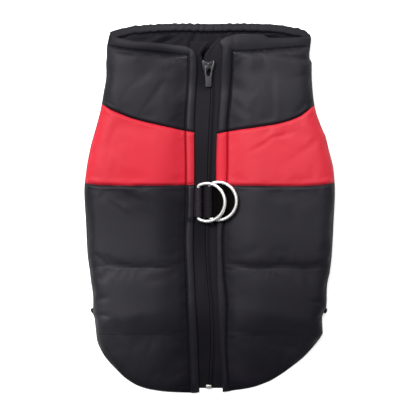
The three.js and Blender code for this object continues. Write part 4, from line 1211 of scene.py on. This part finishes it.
# Two cast ribs run down the slider's top plate from its shoulders; the right one is in brighter nickel, a painted
# highlight.
plate_z = lambda y: float(underside(slider_x, y)) + TAPE + COIL_ROLL + 1.8
RIBS = [
    {"name": "left", "from": (-4.8, 5.3), "to": (-3.6, -3.4), "wide": 1.3, "material": mid_nickel},
    {"name": "right", "from": (5.1, 5.2), "to": (3, -5.4), "wide": 1.1, "material": rubbed_and_highlight_nickel},
]
for rib in RIBS:
    ends = [np.array([slider_x + x, SLIDER_Y + y, plate_z(SLIDER_Y + y)]) for x, y in (rib["from"], rib["to"])]
    way = ends[1] - ends[0]
    length = float(np.linalg.norm(way))
    places = [(mix(ends[0], ends[1], 0.5), way / length, UP)]
    piece = copies(f"slider_rib_{rib['name']}", bead(length, rib["wide"], 1.2), places)
    piece.data.materials.append(rib["material"])
    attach(piece, "jacket")


# ---------------------------------------------------------------- D-rings
# Two welded D-rings of bright nickel-plated steel wire. A lead clips to both; each turns on its flat
# bar inside its webbing loop and lies over to the right.

WIRE = 1.5
RING = 18
BAR_BACK = 8.6
RING_CORNER = 2
LOOP_INNER = WIRE + 0.35
LOOP_OUTER = LOOP_INNER + 1.3
LOOP_TAIL = 1.6
WEBBING_HALF = 14
BAR_HEIGHT = LAYER + TAPE + SEAM_GAP + LOOP_OUTER
RINGS = by_column("name body loop x y tilt tail_to loose longer", [
    ("ring_upper", "upper_ring", "ring_loop_left", -11, 7.4, 18.5, -19.5, 1.1, 0),
    ("ring_lower", "lower_ring", "ring_loop_right", -0.3, 8.6, 16, 11, 1.75, 1.8),
])


def ring_path():
    """The middle of the wire: a straight bar, two corners and a bow."""
    corner_x = RING_CORNER - BAR_BACK
    corner_y = math.sqrt((RING - RING_CORNER) ** 2 - corner_x**2)
    turn = math.atan2(corner_y, corner_x)
    arcs = [(corner_x, -corner_y, RING_CORNER, -math.pi, -turn, 8), (0, 0, RING, -turn, turn, 96),
            (corner_x, corner_y, RING_CORNER, turn, math.pi, 8)]
    points = []
    for x, y, radius, start, end, steps in arcs:
        for a in np.linspace(start, end, steps + 1)[(1 if points else 0):]:
            points.append((BAR_BACK + x + radius * math.cos(a), y + radius * math.sin(a)))
    bar_end = points[0][1]
    points += [(0, mix(-bar_end, bar_end, k / 14)) for k in range(1, 14)]
    return np.array(points)


bright_steel = metal("ring_steel", (0.94, 0.93, 0.91), (0.98, 0.98, 0.97), 0.36, scale=420, metallic=0.7)
for ring in RINGS:
    path = ring_path()
    ahead = np.roll(path, -1, 0) - np.roll(path, 1, 0)
    out = np.stack([ahead[:, 1], -ahead[:, 0]], 1)
    out /= np.linalg.norm(out, axis=1)[:, None]
    weld = 1 + 0.06 * bell(path[:, 1], 0.9) * (path[:, 0] < 1)
    deselect()
    sides = 20
    bpy.ops.mesh.primitive_torus_add(
        major_segments=len(path), minor_segments=sides, major_radius=0.018, minor_radius=0.0014)
    wire = bpy.context.object
    wire.name = wire.data.name = ring["name"] + "_wire"
    b = 2 * np.pi * np.arange(sides) / sides
    flat_x = path[:, 0:1] + out[:, 0:1] * WIRE * weld[:, None] * np.cos(b)
    flat_y = path[:, 1:2] + out[:, 1:2] * WIRE * weld[:, None] * np.cos(b)
    rise = WIRE * weld[:, None] * np.sin(b)
    tilt = math.radians(ring["tilt"])
    x = ring["x"] + flat_x * math.cos(tilt) - rise * math.sin(tilt)
    y = ring["y"] + flat_y
    z = BAR_HEIGHT + flat_x * math.sin(tilt) + rise * math.cos(tilt)
    place_points(wire, np.stack([x, y, z], 2))
    smooth_all(wire, 80)
    wire.data.materials.append(bright_steel)
    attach(wire, ring["body"])
    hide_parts(ring["name"])


# ---------------------------------------------------------------- webbing loops
# Ribbed polypropylene webbing, folded round each ring's bar. Its two ends are pressed together and
# sewn in under the edge of the panel beside it.

TURN_STEPS = 34
TAIL_STEPS = 11
# One webbing in two copies: the upper loop's painted lighter and glossier, the lower loop's darker and duller, as
# painted light and shade.
WEBBING_LOOKS = by_column("ring colour gleam", [
    ("ring_upper", (0.0165, 0.0118, 0.0165), 0.2),
    ("ring_lower", (0.0072, 0.0056, 0.0074), 0.12),
])
webbings = {}
for look in WEBBING_LOOKS:
    webbing = Material("webbing_" + look["ring"], {
        "Base Color": (*look["colour"], 1), "Roughness": 0.65, "Specular IOR Level": look["gleam"]})
    webbing.ribs([("Y", 150), ("X", 260)], 1.2, 0.7, 0.12)
    webbings[look["ring"]] = webbing.data

for ring in RINGS:
    reach = ring["tail_to"] - ring["x"]
    toward = np.sign(reach)
    pinch = math.asin((LOOP_TAIL - LOOP_OUTER) / LOOP_OUTER)
    turns = np.linspace(-math.pi / 2, pinch - 2 * math.pi, TURN_STEPS)
    length = abs(reach)
    tail = np.linspace(length, 0, TAIL_STEPS + 1)[:-1]
    back = np.linspace(LOOP_OUTER * math.cos(pinch), length, TAIL_STEPS + 1)[1:]
    half_tail = LOOP_TAIL / 2
    outer_x = np.concatenate([tail, LOOP_OUTER * np.cos(turns), back])
    outer_z = np.concatenate([np.full(TAIL_STEPS, -LOOP_OUTER), LOOP_OUTER * np.sin(turns),
                              np.full(TAIL_STEPS, LOOP_TAIL - LOOP_OUTER)])
    leave = smooth(0, 3.4, tail)
    join = smooth(LOOP_INNER * math.cos(pinch), 4.4, back)
    inner_back = np.linspace(LOOP_INNER * math.cos(pinch), length, TAIL_STEPS + 1)[1:]
    inner_x = np.concatenate([tail, LOOP_INNER * np.cos(turns), inner_back])
    inner_z = np.concatenate([mix(-LOOP_INNER, half_tail - LOOP_OUTER - 0.02, leave), LOOP_INNER * np.sin(turns),
                              mix(LOOP_INNER * math.sin(pinch), half_tail - LOOP_OUTER + 0.02, join)])
    rows = np.linspace(-1, 1, 113)
    rib = 0.07 * np.cos(2 * np.pi * rows * WEBBING_HALF / 2.0)[:, None]
    selvage = 0.12 * (1 - rounded(1 - np.abs(rows) + 0.002, 0.05))[:, None]
    in_tail = np.full(TAIL_STEPS, 0.3)
    in_loop = np.concatenate([in_tail, np.ones(TURN_STEPS), in_tail])[None]
    shrink = 1 - (0.08 - rib + selvage) * in_loop / LOOP_OUTER
    middle_z = np.where(in_loop > 0.5, 0, -LOOP_OUTER + half_tail)
    ox, oz = outer_x[None] * np.where(in_loop > 0.5, shrink, 1), middle_z + (outer_z[None] - middle_z) * shrink
    y = ring["y"] + np.repeat((rows * WEBBING_HALF - ring["longer"] * (1 - rows) / 2)[:, None], len(outer_x), 1)
    slack = lambda across: np.where(across < 0, across * ring["loose"], across)  # the bend away from the tail
    place_x = lambda across: ring["x"] + toward * np.broadcast_to(slack(across), y.shape)
    outer = np.stack([place_x(ox), y, BAR_HEIGHT + oz], 2)
    inner = np.stack([place_x(inner_x[None]), y, BAR_HEIGHT + np.broadcast_to(inner_z[None], y.shape)], 2)
    loop = wall_object(ring["loop"] + "_webbing", outer, inner)
    only(loop)
    bpy.ops.object.mode_set(mode="EDIT")
    bpy.ops.mesh.select_all(action="SELECT")
    bpy.ops.mesh.normals_make_consistent(inside=False)
    bpy.ops.object.mode_set(mode="OBJECT")
    loop.data.materials.append(webbings[ring["name"]])
    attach(loop, "jacket")
    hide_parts(ring["loop"])


# ---------------------------------------------------------------- dark sheet of painted shade under the rings
# A D-shaped sheet of matt black cloth laid where the two rings lie: painted shade, a dark sheet standing in
# for the shade inside the rings. It bridges the end of the webbing, the zip tape and the edge of the right panel.

PATCH = {"middle": (8, 8.6), "reach": (17.2, 17.6), "from": 1.5, "thick": 0.9}
felt = Material("felt", {
    "Base Color": (0.003, 0.0022, 0.0024, 1), "Roughness": 0.95, "Specular IOR Level": 0.04})
felt.bump(felt.pattern("TexNoise", {"Scale": 700, "Detail": 6}), 0.6, 0.15)

swing = np.linspace(-1.45, 1.45, 61)
share, angle = np.meshgrid(np.linspace(0, 1, 41), swing)
x = mix(PATCH["from"], PATCH["middle"][0] + PATCH["reach"][0] * np.cos(angle), share)
y = PATCH["middle"][1] + PATCH["reach"][1] * np.sin(angle)


def under_patch(x, y):
    edge = RIGHT.edge(y)
    across = np.abs(x - edge) / np.abs(RIGHT.groove(y) - edge) * STRIP_SHARE
    panel = underside(x, y) + loft(RIGHT, across, x, y, fine=0)
    loop_tail = BAR_HEIGHT - LOOP_OUTER + LOOP_TAIL
    return np.where(x > edge + 0.5, panel, loop_tail * np.ones_like(x))


lie = np.mean([under_patch(x + d, y) for d in np.linspace(-1.6, 1.6, 9)], axis=0)
lie = np.maximum(lie, under_patch(x, y)) + 0.15
cover = rounded(np.minimum(share * 20, np.minimum(1 - share, 0.5 - np.abs(angle) / 2.9) * 14) + 0.02, 0.5)
outer = np.stack([x, y, lie + PATCH["thick"] * (0.25 + 0.75 * cover)], 2)
patch = wall_object("ring_patch_felt", outer, np.stack([x, y, lie], 2))
patch.data.materials.append(felt.data)
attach(patch, "jacket")
